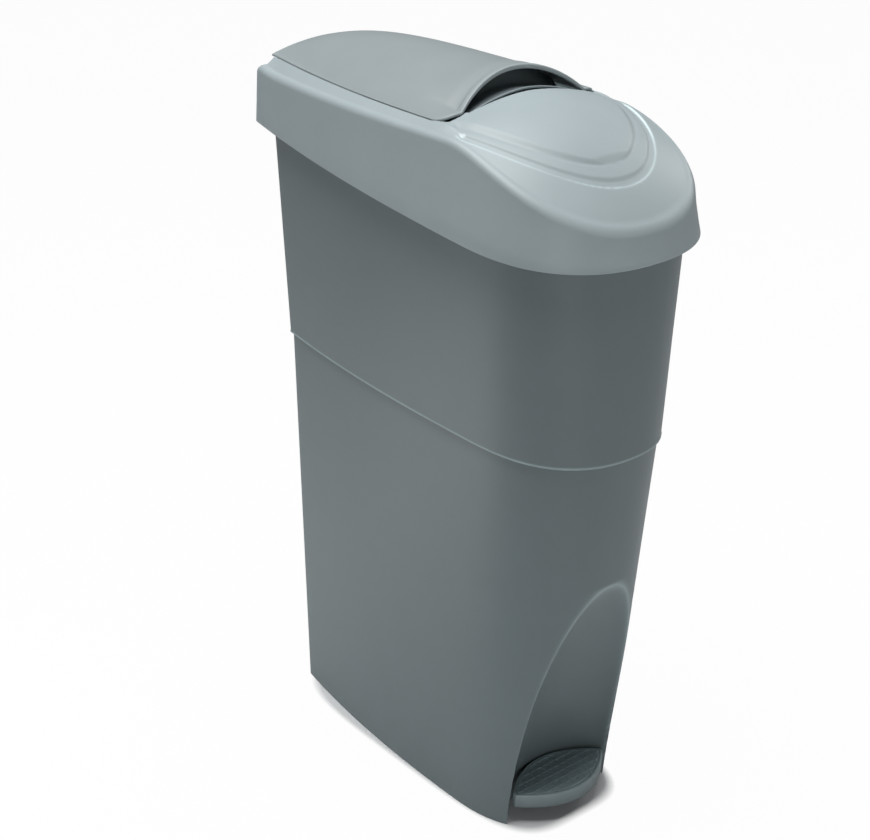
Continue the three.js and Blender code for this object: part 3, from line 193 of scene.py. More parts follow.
@dataclass(frozen=True)
class OutlinePlan:
    """Where the points of half an outline lie, from the middle of the back to the nose."""

    flat_count: int = 16
    corner_count: int = 8
    side_count: int = 60
    nose_count: int = 70
    corner: float = 3.0
    corner_limit: float = 0.4

    def places(self) -> tuple[Array, Array]:
        """Places every point of half an outline.

        Returns:
            The stretch that each point lies on, and its share along that stretch.
        """
        counts = (self.flat_count, self.corner_count, self.side_count, self.nose_count)
        parts, shares = [], []
        for stretch, count in zip(Stretch, counts):
            parts += [stretch.value] * count
            shares += [step / count for step in range(count)]
        return np.array(parts + [Stretch.NOSE.value]), np.array(shares + [1.0])

    def half(self, level: Level) -> tuple[Array, Array]:
        """Returns x and y of half an outline.

        Args:
            level: The outline; its fields are numbers or one value for each point.
        Returns:
            Two arrays, x from 0 at the back to 0 at the nose, and y.
        """
        parts, shares = self.places()
        ends = [parts == Stretch.FLAT, parts == Stretch.CORNER]
        back_half = level.half_width * (1 - level.narrow)
        corner = np.minimum(self.corner, back_half * self.corner_limit)
        length = level.back + level.front
        corner_share = corner / length
        side_x = level.half_width_at_share(corner_share)
        side_y = level.back - length * corner_share
        before, middle, after = (1 - shares) ** 2, 2 * shares * (1 - shares), shares**2
        corner_x = before * (back_half - corner) + middle * back_half + after * side_x
        corner_y = (before + middle) * level.back + after * side_y
        nose_share = mix(level.widest, 1.0, np.sin(shares * math.pi / 2))
        side_share = mix(corner_share, level.widest, shares)
        along = np.where(parts == Stretch.SIDE, side_share, nose_share)
        x = np.select(ends, [shares * (back_half - corner), corner_x], level.half_width_at_share(along))
        y = np.select(ends, [level.back + 0 * shares, corner_y], level.back - length * along)
        x[-1] = 0.0
        return x, y


def mirrored(x: Array, y: Array, z: Numbers) -> Array:
    """Returns a closed ring from half of it.

    Args:
        x: The half's places across, with 0 at its first and last point.
        y: Its places along.
        z: Its heights, or one height for all.
    Returns:
        The ring's points, one in each row.
    """
    half = np.stack([x, y, z + 0 * x], axis=1)
    other = half[-2:0:-1] * np.array([-1.0, 1.0, 1.0])
    return np.concatenate([half, other])


@dataclass(frozen=True)
class Solid:
    """A closed mesh in millimetres, with a mask of its worn edges and painted highlights."""

    points: Array
    faces: list[tuple[int, ...]]
    edge: Array | None = None

    @classmethod
    def loft(cls, rings: list[Array], edges: list[Array] | None = None,
             middle_y: float | None = None) -> "Solid":
        """Joins mirrored rings into a solid and closes its two ends.

        Args:
            rings: Rings of the same number of points, each mirrored about X = 0.
            edges: The mask of worn edges and painted highlights of every ring, or None.
            middle_y: Where the ends' faces meet in one point, for rings with a hollow side.
        Returns:
            The solid.
        """
        count = len(rings[0])
        faces = cls._walls(count, len(rings))
        last = (len(rings) - 1) * count
        points = np.concatenate(rings)
        mask = None if edges is None else np.concatenate(edges)
        if middle_y is not None:
            ends = np.array([[0.0, middle_y, rings[0][0, 2]], [0.0, middle_y, rings[-1][0, 2]]])
            total = len(points)
            for i in range(count):
                after = (i + 1) % count
                faces.append((total, after, i))
                faces.append((total + 1, last + i, last + after))
            mask = None if mask is None else np.concatenate([mask, [0.0, 0.0]])
            return cls(np.concatenate([points, ends]), faces, mask)
        for i in range(count // 2):
            cap = [i, i + 1, (count - i - 1) % count, (count - i) % count]
            cap = list(dict.fromkeys(cap))
            faces.append(tuple(cap[::-1]))
            faces.append(tuple(last + place for place in cap))
        return cls(points, faces, mask)

    @staticmethod
    def _walls(count: int, rows: int) -> list[tuple[int, ...]]:
        """Joins closed rings with faces.

        Args:
            count: How many points each ring has.
            rows: How many rings there are.
        Returns:
            The faces between them.
        """
        faces = []
        for row in range(rows - 1):
            for i in range(count):
                a = row * count + i
                b = row * count + (i + 1) % count
                faces.append((a, b, b + count, a + count))
        return faces

    @classmethod
    def turned(cls, profile: list[tuple[float, float]], x: float, y: float) -> "Solid":
        """Returns a round piece about a vertical line.

        Args:
            profile: Its radius and height at each row.
            x: Where the line stands across.
            y: Where the line stands along.
        Returns:
            The solid.
        """
        angles = np.arange(ROUND_SIDES) * 2 * math.pi / ROUND_SIDES
        rings = [
            np.stack([x + r * np.sin(angles), y + r * np.cos(angles), z + 0 * angles], axis=1)
            for r, z in profile
        ]
        faces = cls._walls(ROUND_SIDES, len(rings))
        last = (len(rings) - 1) * ROUND_SIDES
        faces.append(tuple(range(ROUND_SIDES))[::-1])
        faces.append(tuple(range(last, last + ROUND_SIDES)))
        return cls(np.concatenate(rings), faces)

    @classmethod
    def bar(cls, radius: float, x0: float, x1: float, y: float, z: float) -> "Solid":
        """Returns a round bar along X.

        Args:
            radius: The bar's radius.
            x0: Where it starts.
            x1: Where it ends.
            y: Where its middle line lies along.
            z: The height of its middle line.
        Returns:
            The solid.
        """
        upright = cls.turned([(radius, x0), (radius, x1)], 0.0, 0.0)
        turned = upright.points[:, [2, 0, 1]] + np.array([0.0, y, z])
        return cls(turned, upright.faces)

    @classmethod
    def block(cls, low: Point, high: Point) -> "Solid":
        """Returns a block, for cutting and for hidden lugs.

        Args:
            low: Its lowest corner.
            high: Its highest corner.
        Returns:
            The solid.
        """
        corners = np.array([
            [(low, high)[i][0], (low, high)[j][1], (low, high)[k][2]]
            for k in (0, 1) for j in (0, 1) for i in (0, 1)
        ], float)
        faces = [(0, 2, 3, 1), (4, 5, 7, 6), (0, 1, 5, 4), (2, 6, 7, 3), (0, 4, 6, 2), (1, 3, 7, 5)]
        return cls(corners, faces)

    @classmethod
    def skin(cls, plan: Plan, top: Height, bottom: Height, across: Array, along: Array,
             edge_round: float = 0.0) -> "Solid":
        """Returns a skin between two heights over a patch of the plan.

        Args:
            plan: Gives x and y for shares across and along the patch.
            top: Height of the upper face at x and y.
            bottom: Height of the lower face at x and y.
            across: The shares of the grid lines across.
            along: The shares of the grid lines along.
            edge_round: The radius that both faces are rounded to at the patch's border.
        Returns:
            The solid, with its mask set along the border.
        """
        u, v = np.meshgrid(across, along)
        x, y = plan(u, v)
        border = cls._to_border(x, y)
        upper, lower = top(x, y), bottom(x, y)
        if edge_round > 0:
            near = edge_round - np.minimum(border, edge_round)
            drop = edge_round - np.sqrt(np.maximum(edge_round**2 - near**2, 0))
            upper, lower = upper - drop, lower + drop
        rows, row = u.shape
        layer = rows * row
        points = np.concatenate([
            np.stack([x, y, z], axis=2).reshape(-1, 3) for z in (upper, lower)
        ])
        faces = []
        for j in range(rows - 1):
            for i in range(row - 1):
                a = j * row + i
                faces.append((a, a + 1, a + row + 1, a + row))
                faces.append((layer + a, layer + a + row, layer + a + row + 1, layer + a + 1))
        loop = [*range(row - 1), *range(row - 1, layer - row, row),
                *range(layer - 1, layer - row, -1), *range(layer - row, 0, -row)]
        for a, b in zip(loop, loop[1:] + loop[:1]):
            faces.append((b, a, layer + a, layer + b))
        mask = np.exp(-border / EDGE_FADE).ravel()
        return cls(points, faces, np.concatenate([mask, mask]))

    @staticmethod
    def _to_border(x: Array, y: Array) -> Array:
        """Measures along a grid's lines to its border.

        Args:
            x: The grid's places across.
            y: The grid's places along.
        Returns:
            About how far every point lies from the nearest side.
        """
        def run(axis: int) -> Array:
            """Measures along the lines of one axis.

            Args:
                axis: The axis that the lines follow.
            Returns:
                The length from a line's start to every point.
            """
            steps = np.hypot(np.diff(x, axis=axis), np.diff(y, axis=axis))
            start = np.zeros_like(np.take(x, [0], axis=axis))
            return np.concatenate([start, np.cumsum(steps, axis=axis)], axis=axis)

        across, along = run(1), run(0)
        return np.minimum(np.minimum(across, across[:, -1:] - across),
                          np.minimum(along, along[-1:] - along))

    def made(self, name: str) -> bpy.types.Object:
        """Makes a Blender object of this solid, in metres, with its faces turned outwards.

        Args:
            name: The object's name.
        Returns:
            The object.
        """
        mesh = bpy.data.meshes.new(name)
        points = (self.points + np.array([0.0, BODY_MIDDLE_Y, 0.0])) * METRES_PER_MM
        mesh.from_pydata(points.tolist(), [], self.faces)
        if self.edge is not None:
            mask = mesh.attributes.new(WEAR_AND_HIGHLIGHT_MASK, "FLOAT", "POINT")
            mask.data.foreach_set("value", self.edge.astype(np.float32))
        tidy = bmesh.new()
        tidy.from_mesh(mesh)
        bmesh.ops.remove_doubles(tidy, verts=tidy.verts, dist=WELD_METRES)
        bmesh.ops.dissolve_degenerate(tidy, dist=SLIVER_METRES, edges=tidy.edges)
        bmesh.ops.recalc_face_normals(tidy, faces=tidy.faces)
        tidy.to_mesh(mesh)
        tidy.free()
        piece = bpy.data.objects.new(name, mesh)
        bpy.context.scene.collection.objects.link(piece)
        return piece


def carve(piece: bpy.types.Object, tool: Solid, how: Cut) -> None:
    """Joins a tool solid to a piece or cuts it away.

    Args:
        piece: The object whose mesh changes.
        tool: The other solid.
        how: Whether the tool is joined or removed.
    """
    cutter = tool.made("cutter")
    step = piece.modifiers.new("carve", "BOOLEAN")
    step.object = cutter
    step.operation = how.value
    step.solver = "MANIFOLD"
    graph = bpy.context.evaluated_depsgraph_get()
    result = bpy.data.meshes.new_from_object(piece.evaluated_get(graph))
    piece.modifiers.clear()
    old = piece.data
    piece.data = result
    bpy.data.meshes.remove(old)
    mesh = cutter.data
    bpy.data.objects.remove(cutter)
    bpy.data.meshes.remove(mesh)


def shade(piece: bpy.types.Object, sharp_degrees: float = 35.0) -> None:
    """Shades a piece smooth, with edges above an angle left sharp."""
    piece.data.shade_smooth()
    piece.data.set_sharp_from_angle(angle=math.radians(sharp_degrees))


def dress(piece: bpy.types.Object, body: str, slot: str, finish: bpy.types.Material,
          *nodes: str) -> None:
    """Finishes a piece and ties it to the CAD model.

    Args:
        piece: The object.
        body: The CAD body that it moves with.
        slot: The record's material slot; not used.
        finish: Its material.
        *nodes: The CAD nodes that it stands for.
    """
    shade(piece)
    piece.data.materials.clear()
    piece.data.materials.append(finish)
    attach(piece, body)
    if nodes:
        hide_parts(*nodes)
    log.info("%s: %d faces, rides on %s", piece.name, len(piece.data.polygons), body)


@dataclass(frozen=True)
class Grain:
    """One size of the noise that varies a surface."""

    scale: float
    detail: float = 2.0
    roughness: float = 0.5


class Graph:
    """The node tree of a material or a world, with one way to add a node."""

    def __init__(self, owner: bpy.types.Material | bpy.types.World) -> None:
        """Empties the owner's tree.

        Args:
            owner: The material or the world.
        """
        owner.use_nodes = True
        self.owner = owner
        self.tree = owner.node_tree
        self.tree.nodes.clear()

    def add(self, kind: str, settings: dict[str, object] | None = None,
            sockets: dict[str | int, object] | None = None) -> bpy.types.Node:
        """Adds a node.

        Args:
            kind: The node's type.
            settings: Its own settings, which are set first.
            sockets: What goes into its inputs, by name or number: values, sockets or Values.
        Returns:
            The node.
        """
        node = self.tree.nodes.new(kind)
        for key, value in (settings or {}).items():
            setattr(node, key, value)
        for key, value in (sockets or {}).items():
            source = value.socket if isinstance(value, Value) else value
            if isinstance(source, bpy.types.NodeSocket):
                self.tree.links.new(source, node.inputs[key])
            else:
                node.inputs[key].default_value = source
        return node

    def noise(self, where: bpy.types.NodeSocket, grain: Grain) -> "Value":
        """Adds a noise.

        Args:
            where: The coordinates that it follows.
            grain: Its size and kind.
        Returns:
            A value from 0 to 1.
        """
        node = self.add("ShaderNodeTexNoise", {"noise_dimensions": "3D"}, {
            "Vector": where, "Scale": grain.scale, "Detail": grain.detail,
            "Roughness": grain.roughness,
        })
        return Value(self, node.outputs["Fac"])

    def blend(self, share: "Value", first: object, second: object) -> bpy.types.NodeSocket:
        """Returns a colour between two, by a share."""
        node = self.add("ShaderNodeMix", {"data_type": "RGBA"}, {0: share, 6: first, 7: second})
        return node.outputs[2]

    def finish(self, surface: bpy.types.NodeSocket) -> bpy.types.Material:
        """Connects the surface to the output and returns the material."""
        self.add("ShaderNodeOutputMaterial", {}, {"Surface": surface})
        return self.owner


@dataclass(frozen=True)
class Value:
    """A socket that carries one number. Arithmetic on it adds Math nodes."""

    graph: Graph
    socket: bpy.types.NodeSocket

    def _math(self, operation: str, first: object, second: object, held: bool = False) -> "Value":
        """Adds a Math node.

        Args:
            operation: What it does.
            first: Its first number, socket or Value.
            second: Its second number, socket or Value.
            held: Whether the result is held between 0 and 1.
        Returns:
            Its result.
        """
        settings = {"operation": operation, "use_clamp": held}
        node = self.graph.add("ShaderNodeMath", settings, {0: first, 1: second})
        return Value(self.graph, node.outputs[0])

    def __add__(self, other: object) -> "Value":
        """Returns self + other."""
        return self._math("ADD", self, other)

    def __radd__(self, other: object) -> "Value":
        """Returns other + self."""
        return self._math("ADD", other, self)

    def __sub__(self, other: object) -> "Value":
        """Returns self - other."""
        return self._math("SUBTRACT", self, other)

    def __rsub__(self, other: object) -> "Value":
        """Returns other - self."""
        return self._math("SUBTRACT", other, self)

    def __mul__(self, other: object) -> "Value":
        """Returns self * other."""
        return self._math("MULTIPLY", self, other)

    def __rmul__(self, other: object) -> "Value":
        """Returns other * self."""
        return self._math("MULTIPLY", other, self)

    def held(self) -> "Value":
        """Returns the value held between 0 and 1."""
        return self._math("ADD", self, 0.0, held=True)


def shaded(colour: Colour, factor: float = 1.0) -> tuple[float, float, float, float]:
    """Returns a colour made lighter or darker, with its alpha."""
    red, green, blue = (min(part * factor, 1.0) for part in colour)
    return red, green, blue, 1.0


@dataclass(frozen=True)
class MouldedPlastic:
    """Satin moulded plastic: clouded colour, a fine eroded grain, paler worn edges and paler painted
    highlights where its mask marks them.
    """

    name: str
    tone: Colour
    roughness: float = 0.42
    specular: float = 0.42
    grain_depth: float = 0.00003
    wear_and_highlight: float = 0.35
    clouds: Grain = Grain(9.0, 3.0)
    flow_lines: Grain = Grain(42.0, 4.0, 0.6)
    specks: Grain = Grain(900.0)
    erosion: Grain = Grain(2600.0, 2.0, 0.6)
    cloud_tint: float = 0.55
    flow_tint: float = 0.3
    speck_tint: float = 0.15
    darkest: float = 0.90
    lightest: float = 1.10
    worn_and_highlit_tone: float = 2.4
    worn_and_highlit_least: float = 0.6
    worn_and_highlit_by_flow: float = 0.8
    polish: float = 0.09
    cloud_matt: float = 0.08
    flow_matt: float = 0.06
    speck_matt: float = 0.05
    bump_strength: float = 0.5
    flow_bump: float = 2.0

    def material(self) -> bpy.types.Material:
        """Builds the material.

        Returns:
            The material, under the finish's name.
        """
        graph = Graph(bpy.data.materials.new(self.name))
        where = graph.add("ShaderNodeTexCoord").outputs["Object"]
        cloud = graph.noise(where, self.clouds)
        flow = graph.noise(where, self.flow_lines)
        speck = graph.noise(where, self.specks)
        grain = graph.noise(where, self.erosion)
        edge = graph.add("ShaderNodeAttribute", {"attribute_name": WEAR_AND_HIGHLIGHT_MASK}).outputs["Fac"]
        mask = Value(graph, edge)
        tint = (cloud * self.cloud_tint + flow * self.flow_tint + speck * self.speck_tint).held()
        colour = graph.blend(tint, shaded(self.tone, self.darkest), shaded(self.tone, self.lightest))
        # Lightens the colour along the mask: wear on worn edges, and a painted highlight along the body's
        # step line and the lid's groove.
        worn_and_highlit = (mask * (self.worn_and_highlit_least + flow * self.worn_and_highlit_by_flow) * self.wear_and_highlight).held()
        colour = graph.blend(worn_and_highlit, colour, shaded(self.tone, self.worn_and_highlit_tone))
        matt = (self.roughness - self.polish + cloud * self.cloud_matt + flow * self.flow_matt
                + speck * self.speck_matt).held()
        bump = graph.add("ShaderNodeBump", {}, {
            "Strength": self.bump_strength, "Distance": self.grain_depth,
            "Height": grain + flow * self.flow_bump,
        })
        shader = graph.add("ShaderNodeBsdfPrincipled", {}, {
            "Base Color": colour, "Roughness": matt, "Specular IOR Level": self.specular,
            "Normal": bump.outputs["Normal"],
        })
        return graph.finish(shader.outputs["BSDF"])


@dataclass(frozen=True)
class DrawnSteel:
    """Bright steel with a fine drawn grain."""

    name: str
    tone: Colour
    roughness: float = 0.3
    grain_depth: float = 0.00002
    clouds: Grain = Grain(60.0, 3.0)
    drawn_grain: Grain = Grain(1800.0, 3.0, 0.7)
    darkest: float = 0.85
    lightest: float = 1.12
    polish: float = 0.08
    cloud_matt: float = 0.1
    grain_matt: float = 0.1
    bump_strength: float = 0.4

    def material(self) -> bpy.types.Material:
        """Builds the material.

        Returns:
            The material, under the finish's name.
        """
        graph = Graph(bpy.data.materials.new(self.name))
        where = graph.add("ShaderNodeTexCoord").outputs["Object"]
        cloud = graph.noise(where, self.clouds)
        grain = graph.noise(where, self.drawn_grain)
        colour = graph.blend(cloud, shaded(self.tone, self.darkest), shaded(self.tone, self.lightest))
        matt = (self.roughness - self.polish + cloud * self.cloud_matt
                + grain * self.grain_matt).held()
        bump = graph.add("ShaderNodeBump", {}, {
            "Strength": self.bump_strength, "Distance": self.grain_depth, "Height": grain,
        })
        shader = graph.add("ShaderNodeBsdfPrincipled", {}, {
            "Base Color": colour, "Roughness": matt, "Metallic": 1.0,
            "Normal": bump.outputs["Normal"],
        })
        return graph.finish(shader.outputs["BSDF"])


@dataclass(frozen=True)
class Finishes:
    """Every finish of the bin, by the record's slot."""

    plastics: tuple[MouldedPlastic, ...] = (
        # The body's mask lightens worn edges at the toe recess and paints a highlight along the step line.
        MouldedPlastic("body_plastic", (0.154, 0.191, 0.199), wear_and_highlight=0.75),
        # The lid's mask paints a highlight along the groove's outer flank.
        MouldedPlastic("lid_plastic", (0.352, 0.410, 0.428), wear_and_highlight=0.6),
        MouldedPlastic("flap_plastic", (0.274, 0.312, 0.320), wear_and_highlight=0.2),
        MouldedPlastic("pocket_plastic", (0.130, 0.155, 0.165), wear_and_highlight=0.8),
        MouldedPlastic("tread_plastic", (0.205, 0.262, 0.278), roughness=0.6, grain_depth=0.00006),
        MouldedPlastic("black_plastic", (0.018, 0.021, 0.023), roughness=0.55),
        MouldedPlastic("bush_plastic", (0.397, 0.479, 0.497)),
        MouldedPlastic("rubber", (0.012, 0.014, 0.015), roughness=0.85, specular=0.3,
                       grain_depth=0.00008),
    )
    metals: tuple[DrawnSteel, ...] = (
        DrawnSteel("steel", (0.456, 0.479, 0.497)),
        DrawnSteel("screw_steel", (0.456, 0.479, 0.497), roughness=0.36),
    )

    def materials(self) -> Materials:
        """Builds every material and returns them by slot."""
        return {finish.name: finish.material() for finish in (*self.plastics, *self.metals)}


@dataclass(frozen=True)
class BinForm:
    """The outlines and heights that the body, the lid and the flap share."""

    base: Level = Level(0.0, 68.4, 159.6, 152.3, 0.272, 0.713)
    waist: Level = Level(342.6, 76.3, 173.6, 179.3, 0.252, 0.713)
    rim: Level = Level(512.0, 88.1, 179.6, 179.1, 0.233, 0.713)
    step_depth: float = 1.9
    step_rise: float = 3.8
    rim_rise: float = 30.8
    rim_cover: float = 12.0
    overhang: float = 12.6
    nose_overhang: float = 8.6
    rear_draft: float = 0.03
    nose_draft: float = 0.2
    shoulder_round: float = 6.0
    rear_rise: float = 77.0
    crest_rise: float = 77.5
    nose_rise: float = 23.0
    back_rise: float = 79.0
    crest_y: float = -65.0
    nose_fall_curve: float = 1.45
    back_shoulder_x: float = 92.0
    back_shoulder_fade: float = 14.0
    back_shoulder_depth: float = 28.0
    narrowest: float = 0.3
    rear_margin: float = 10.0
    front_margin: float = 7.0
    mouth_lift: float = 16.0
    fall_curve: float = 2.2
    cross_curve: float = 1.75
    corner_fade: float = 30.0
    blend_front: float = -48.0
    blend_back: float = -20.0
    flap_rear_inset: float = 3.4
    flap_front: float = -48.0
    rear_edge_lift: float = 7.0
    front_edge_lift: float = 5.0
    edge_curve: int = 2
    hood_flange: float = 16.5
    hood_set_back: float = 11.0
    hinge_inset: float = 2.5
    hinge_drop: float = 6.5
    knuckle: float = 4.0
    pin_bore: float = 2.15
    pin_half: float = 60.0
    pocket_inset: float = 4.5
    rim_ahead: float = 1.2
    rim_bow: float = 0.6
    mouth_gap: float = 1.2

    @property
    def waist_low(self) -> Level:
        """The lower wall's outline at the step."""
        return self.waist.grown(-self.step_depth)

    @property
    def skirt_z(self) -> float:
        """Height of the lid's lower edge at the nose."""
        return self.rim.z - self.rim_cover

    @property
    def lid(self) -> Level:
        """The outline of the lid's lower edge."""
        wall = self.waist.toward(self.rim, self.skirt_z)
        return replace(wall.grown(self.overhang), front=wall.front + self.nose_overhang)

    def lower(self, z: Numbers) -> Level:
        """Returns the lower wall's outline at a height."""
        return self.base.toward(self.waist_low, z)

    def upper(self, z: Numbers, y: Numbers) -> Level:
        """Returns the upper wall's outline at a height; the wall ends at the tilted rim."""
        share = (z - self.waist.z) / (self.rim_z(y) - self.waist.z)
        return self.waist.toward(self.rim, mix(self.waist.z, self.rim.z, share))

    def rim_z(self, y: Numbers) -> Numbers:
        """Returns the height of the body's rim."""
        return self.rim.z + self.rim_rise * self.rim.to_back(y)

    def step_z(self, y: Numbers) -> Numbers:
        """Returns the height of the step in the body's wall."""
        return self.waist.z + self.step_rise * self.waist.to_back(y)

    def skirt_line(self, y: Numbers) -> Numbers:
        """Returns the height of the lid's lower edge."""
        return self.rim_z(y) - self.rim_cover

    def shoulder(self, x: Numbers, y: Numbers) -> Numbers:
        """Returns the height of the lid's shoulder.

        Args:
            x: The place across.
            y: The place along.
        Returns:
            The height of its outer face there, which falls to the nose and rises at the back.
        """
        nose = -self.lid.front
        fall = clamp((self.crest_y - y) / (self.crest_y - nose)) ** self.nose_fall_curve
        front = mix(self.crest_rise, self.nose_rise, fall)
        back = self.lid.back
        side = mix(self.crest_rise, self.rear_rise, smooth((y - self.crest_y) / (back - self.crest_y)))
        across = smooth((self.back_shoulder_x - np.abs(x)) / self.back_shoulder_fade)
        behind = smooth((y - back + self.back_shoulder_depth) / self.back_shoulder_depth)
        rear = mix(side, self.back_rise, across * behind)
        return self.skirt_z + np.where(y < self.crest_y, front, rear)

    def wall_lean(self, x: Numbers, y: Numbers) -> Numbers:
        """Returns how far the lid's wall leans in up to its shoulder."""
        draft = mix(self.nose_draft, self.rear_draft, clamp(self.lid.to_back(y)))
        return draft * (self.shoulder(x, y) - self.shoulder_round - self.skirt_line(y))

    def shoulder_half_width(self, y: Numbers) -> Numbers:
        """Returns half the width inside the lid's shoulder."""
        lean = self.wall_lean(self.lid.half_width, y)
        return self.lid.grown(-self.shoulder_round - lean).half_width_at(y)

    @property
    def shoulder_front(self) -> float:
        """How far ahead of the middle the shoulder reaches at the nose."""
        lean = self.wall_lean(self.lid.half_width, -self.lid.front)
        return float(self.lid.front - self.shoulder_round - lean)

    @property
    def flap_rear(self) -> float:
        """Where the flap ends at the back."""
        return self.lid.back - self.flap_rear_inset

    @property
    def rear_edge_z(self) -> float:
        """Height of the flap's edge at the back."""
        return self.skirt_z + self.back_rise + self.rear_edge_lift

    @property
    def hinge_y(self) -> float:
        """Where the flap's hinge lies."""
        return self.flap_rear - self.hinge_inset

    @property
    def hinge_z(self) -> float:
        """Height of the flap's hinge."""
        return self.rear_edge_z - self.hinge_drop

    def along_flap(self, y: Numbers) -> Numbers:
        """Returns how far y is from the hinge to the flap's front edge, from 0 to 1."""
        return clamp((self.flap_rear - y) / (self.flap_rear - self.flap_front))

    def flap_edge_z(self, y: Numbers) -> Numbers:
        """Returns the height of the flap's side edges."""
        front = self.skirt_z + self.crest_rise + self.front_edge_lift
        return mix(self.rear_edge_z, front, ease_out(self.along_flap(y), self.edge_curve))

    def flap_half_width(self, y: Numbers) -> Numbers:
        """Returns half the flap's width."""
        margin = mix(self.rear_margin, self.front_margin, self.along_flap(y))
        return self.shoulder_half_width(y) - margin

    @property
    def hood_half_width(self) -> float:
        """Half the width of the raised mouth."""
        return float(self.flap_half_width(self.flap_front)) - self.hood_flange

    @property
    def pocket_half_width(self) -> float:
        """Half the width of the finger pocket."""
        return self.hood_half_width - self.pocket_inset

    def hood_bow(self, x: Numbers) -> Numbers:
        """Returns 1 in the middle of the mouth and 0 from its corners on."""
        return np.maximum(1 - (x / self.hood_half_width) ** 2, 0)

    def hood_edge(self, x: Numbers) -> Numbers:
        """Returns y of the flap's front edge before its rounded corners."""
        return self.flap_front + self.hood_set_back * self.hood_bow(x)

    def pocket_rim(self, x: Numbers) -> Numbers:
        """Returns y of the finger pocket's front rim."""
        return self.flap_front - self.rim_ahead + self.rim_bow * self.hood_bow(x)

    def lid_top(self, x: Numbers, y: Numbers) -> Numbers:
        """Returns the height of the lid inside its shoulder, without dome and groove.

        Args:
            x: The place across.
            y: The place along.
        Returns:
            The height: a crest that falls to the nose, and a slope up to the flap behind it.
        """
        shoulder = self.shoulder(x, y)
        half = np.maximum(self.shoulder_half_width(y), self.narrowest)
        across = np.minimum(np.abs(x) / half, 1)
        fall = clamp((self.flap_front - y) / (self.shoulder_front + self.flap_front))
        mouth = self.skirt_z + self.crest_rise + self.mouth_lift
        tip = self.shoulder(0.0, -self.shoulder_front)
        crest = mix(mouth, tip, fall**self.fall_curve)
        front = shoulder + np.maximum(crest - shoulder, 0) * (1 - across**self.cross_curve)
        inward = clamp((1 - across) / (1 - self.flap_half_width(y) / half))
        rear = mix(shoulder, self.flap_edge_z(y), inward)
        ahead = smooth((y - self.flap_front + self.corner_fade) / self.corner_fade)
        front = np.maximum(front, mix(shoulder, rear, ahead))
        place = (y - self.blend_front) / (self.blend_back - self.blend_front)
        return mix(front, rear, smooth(place))


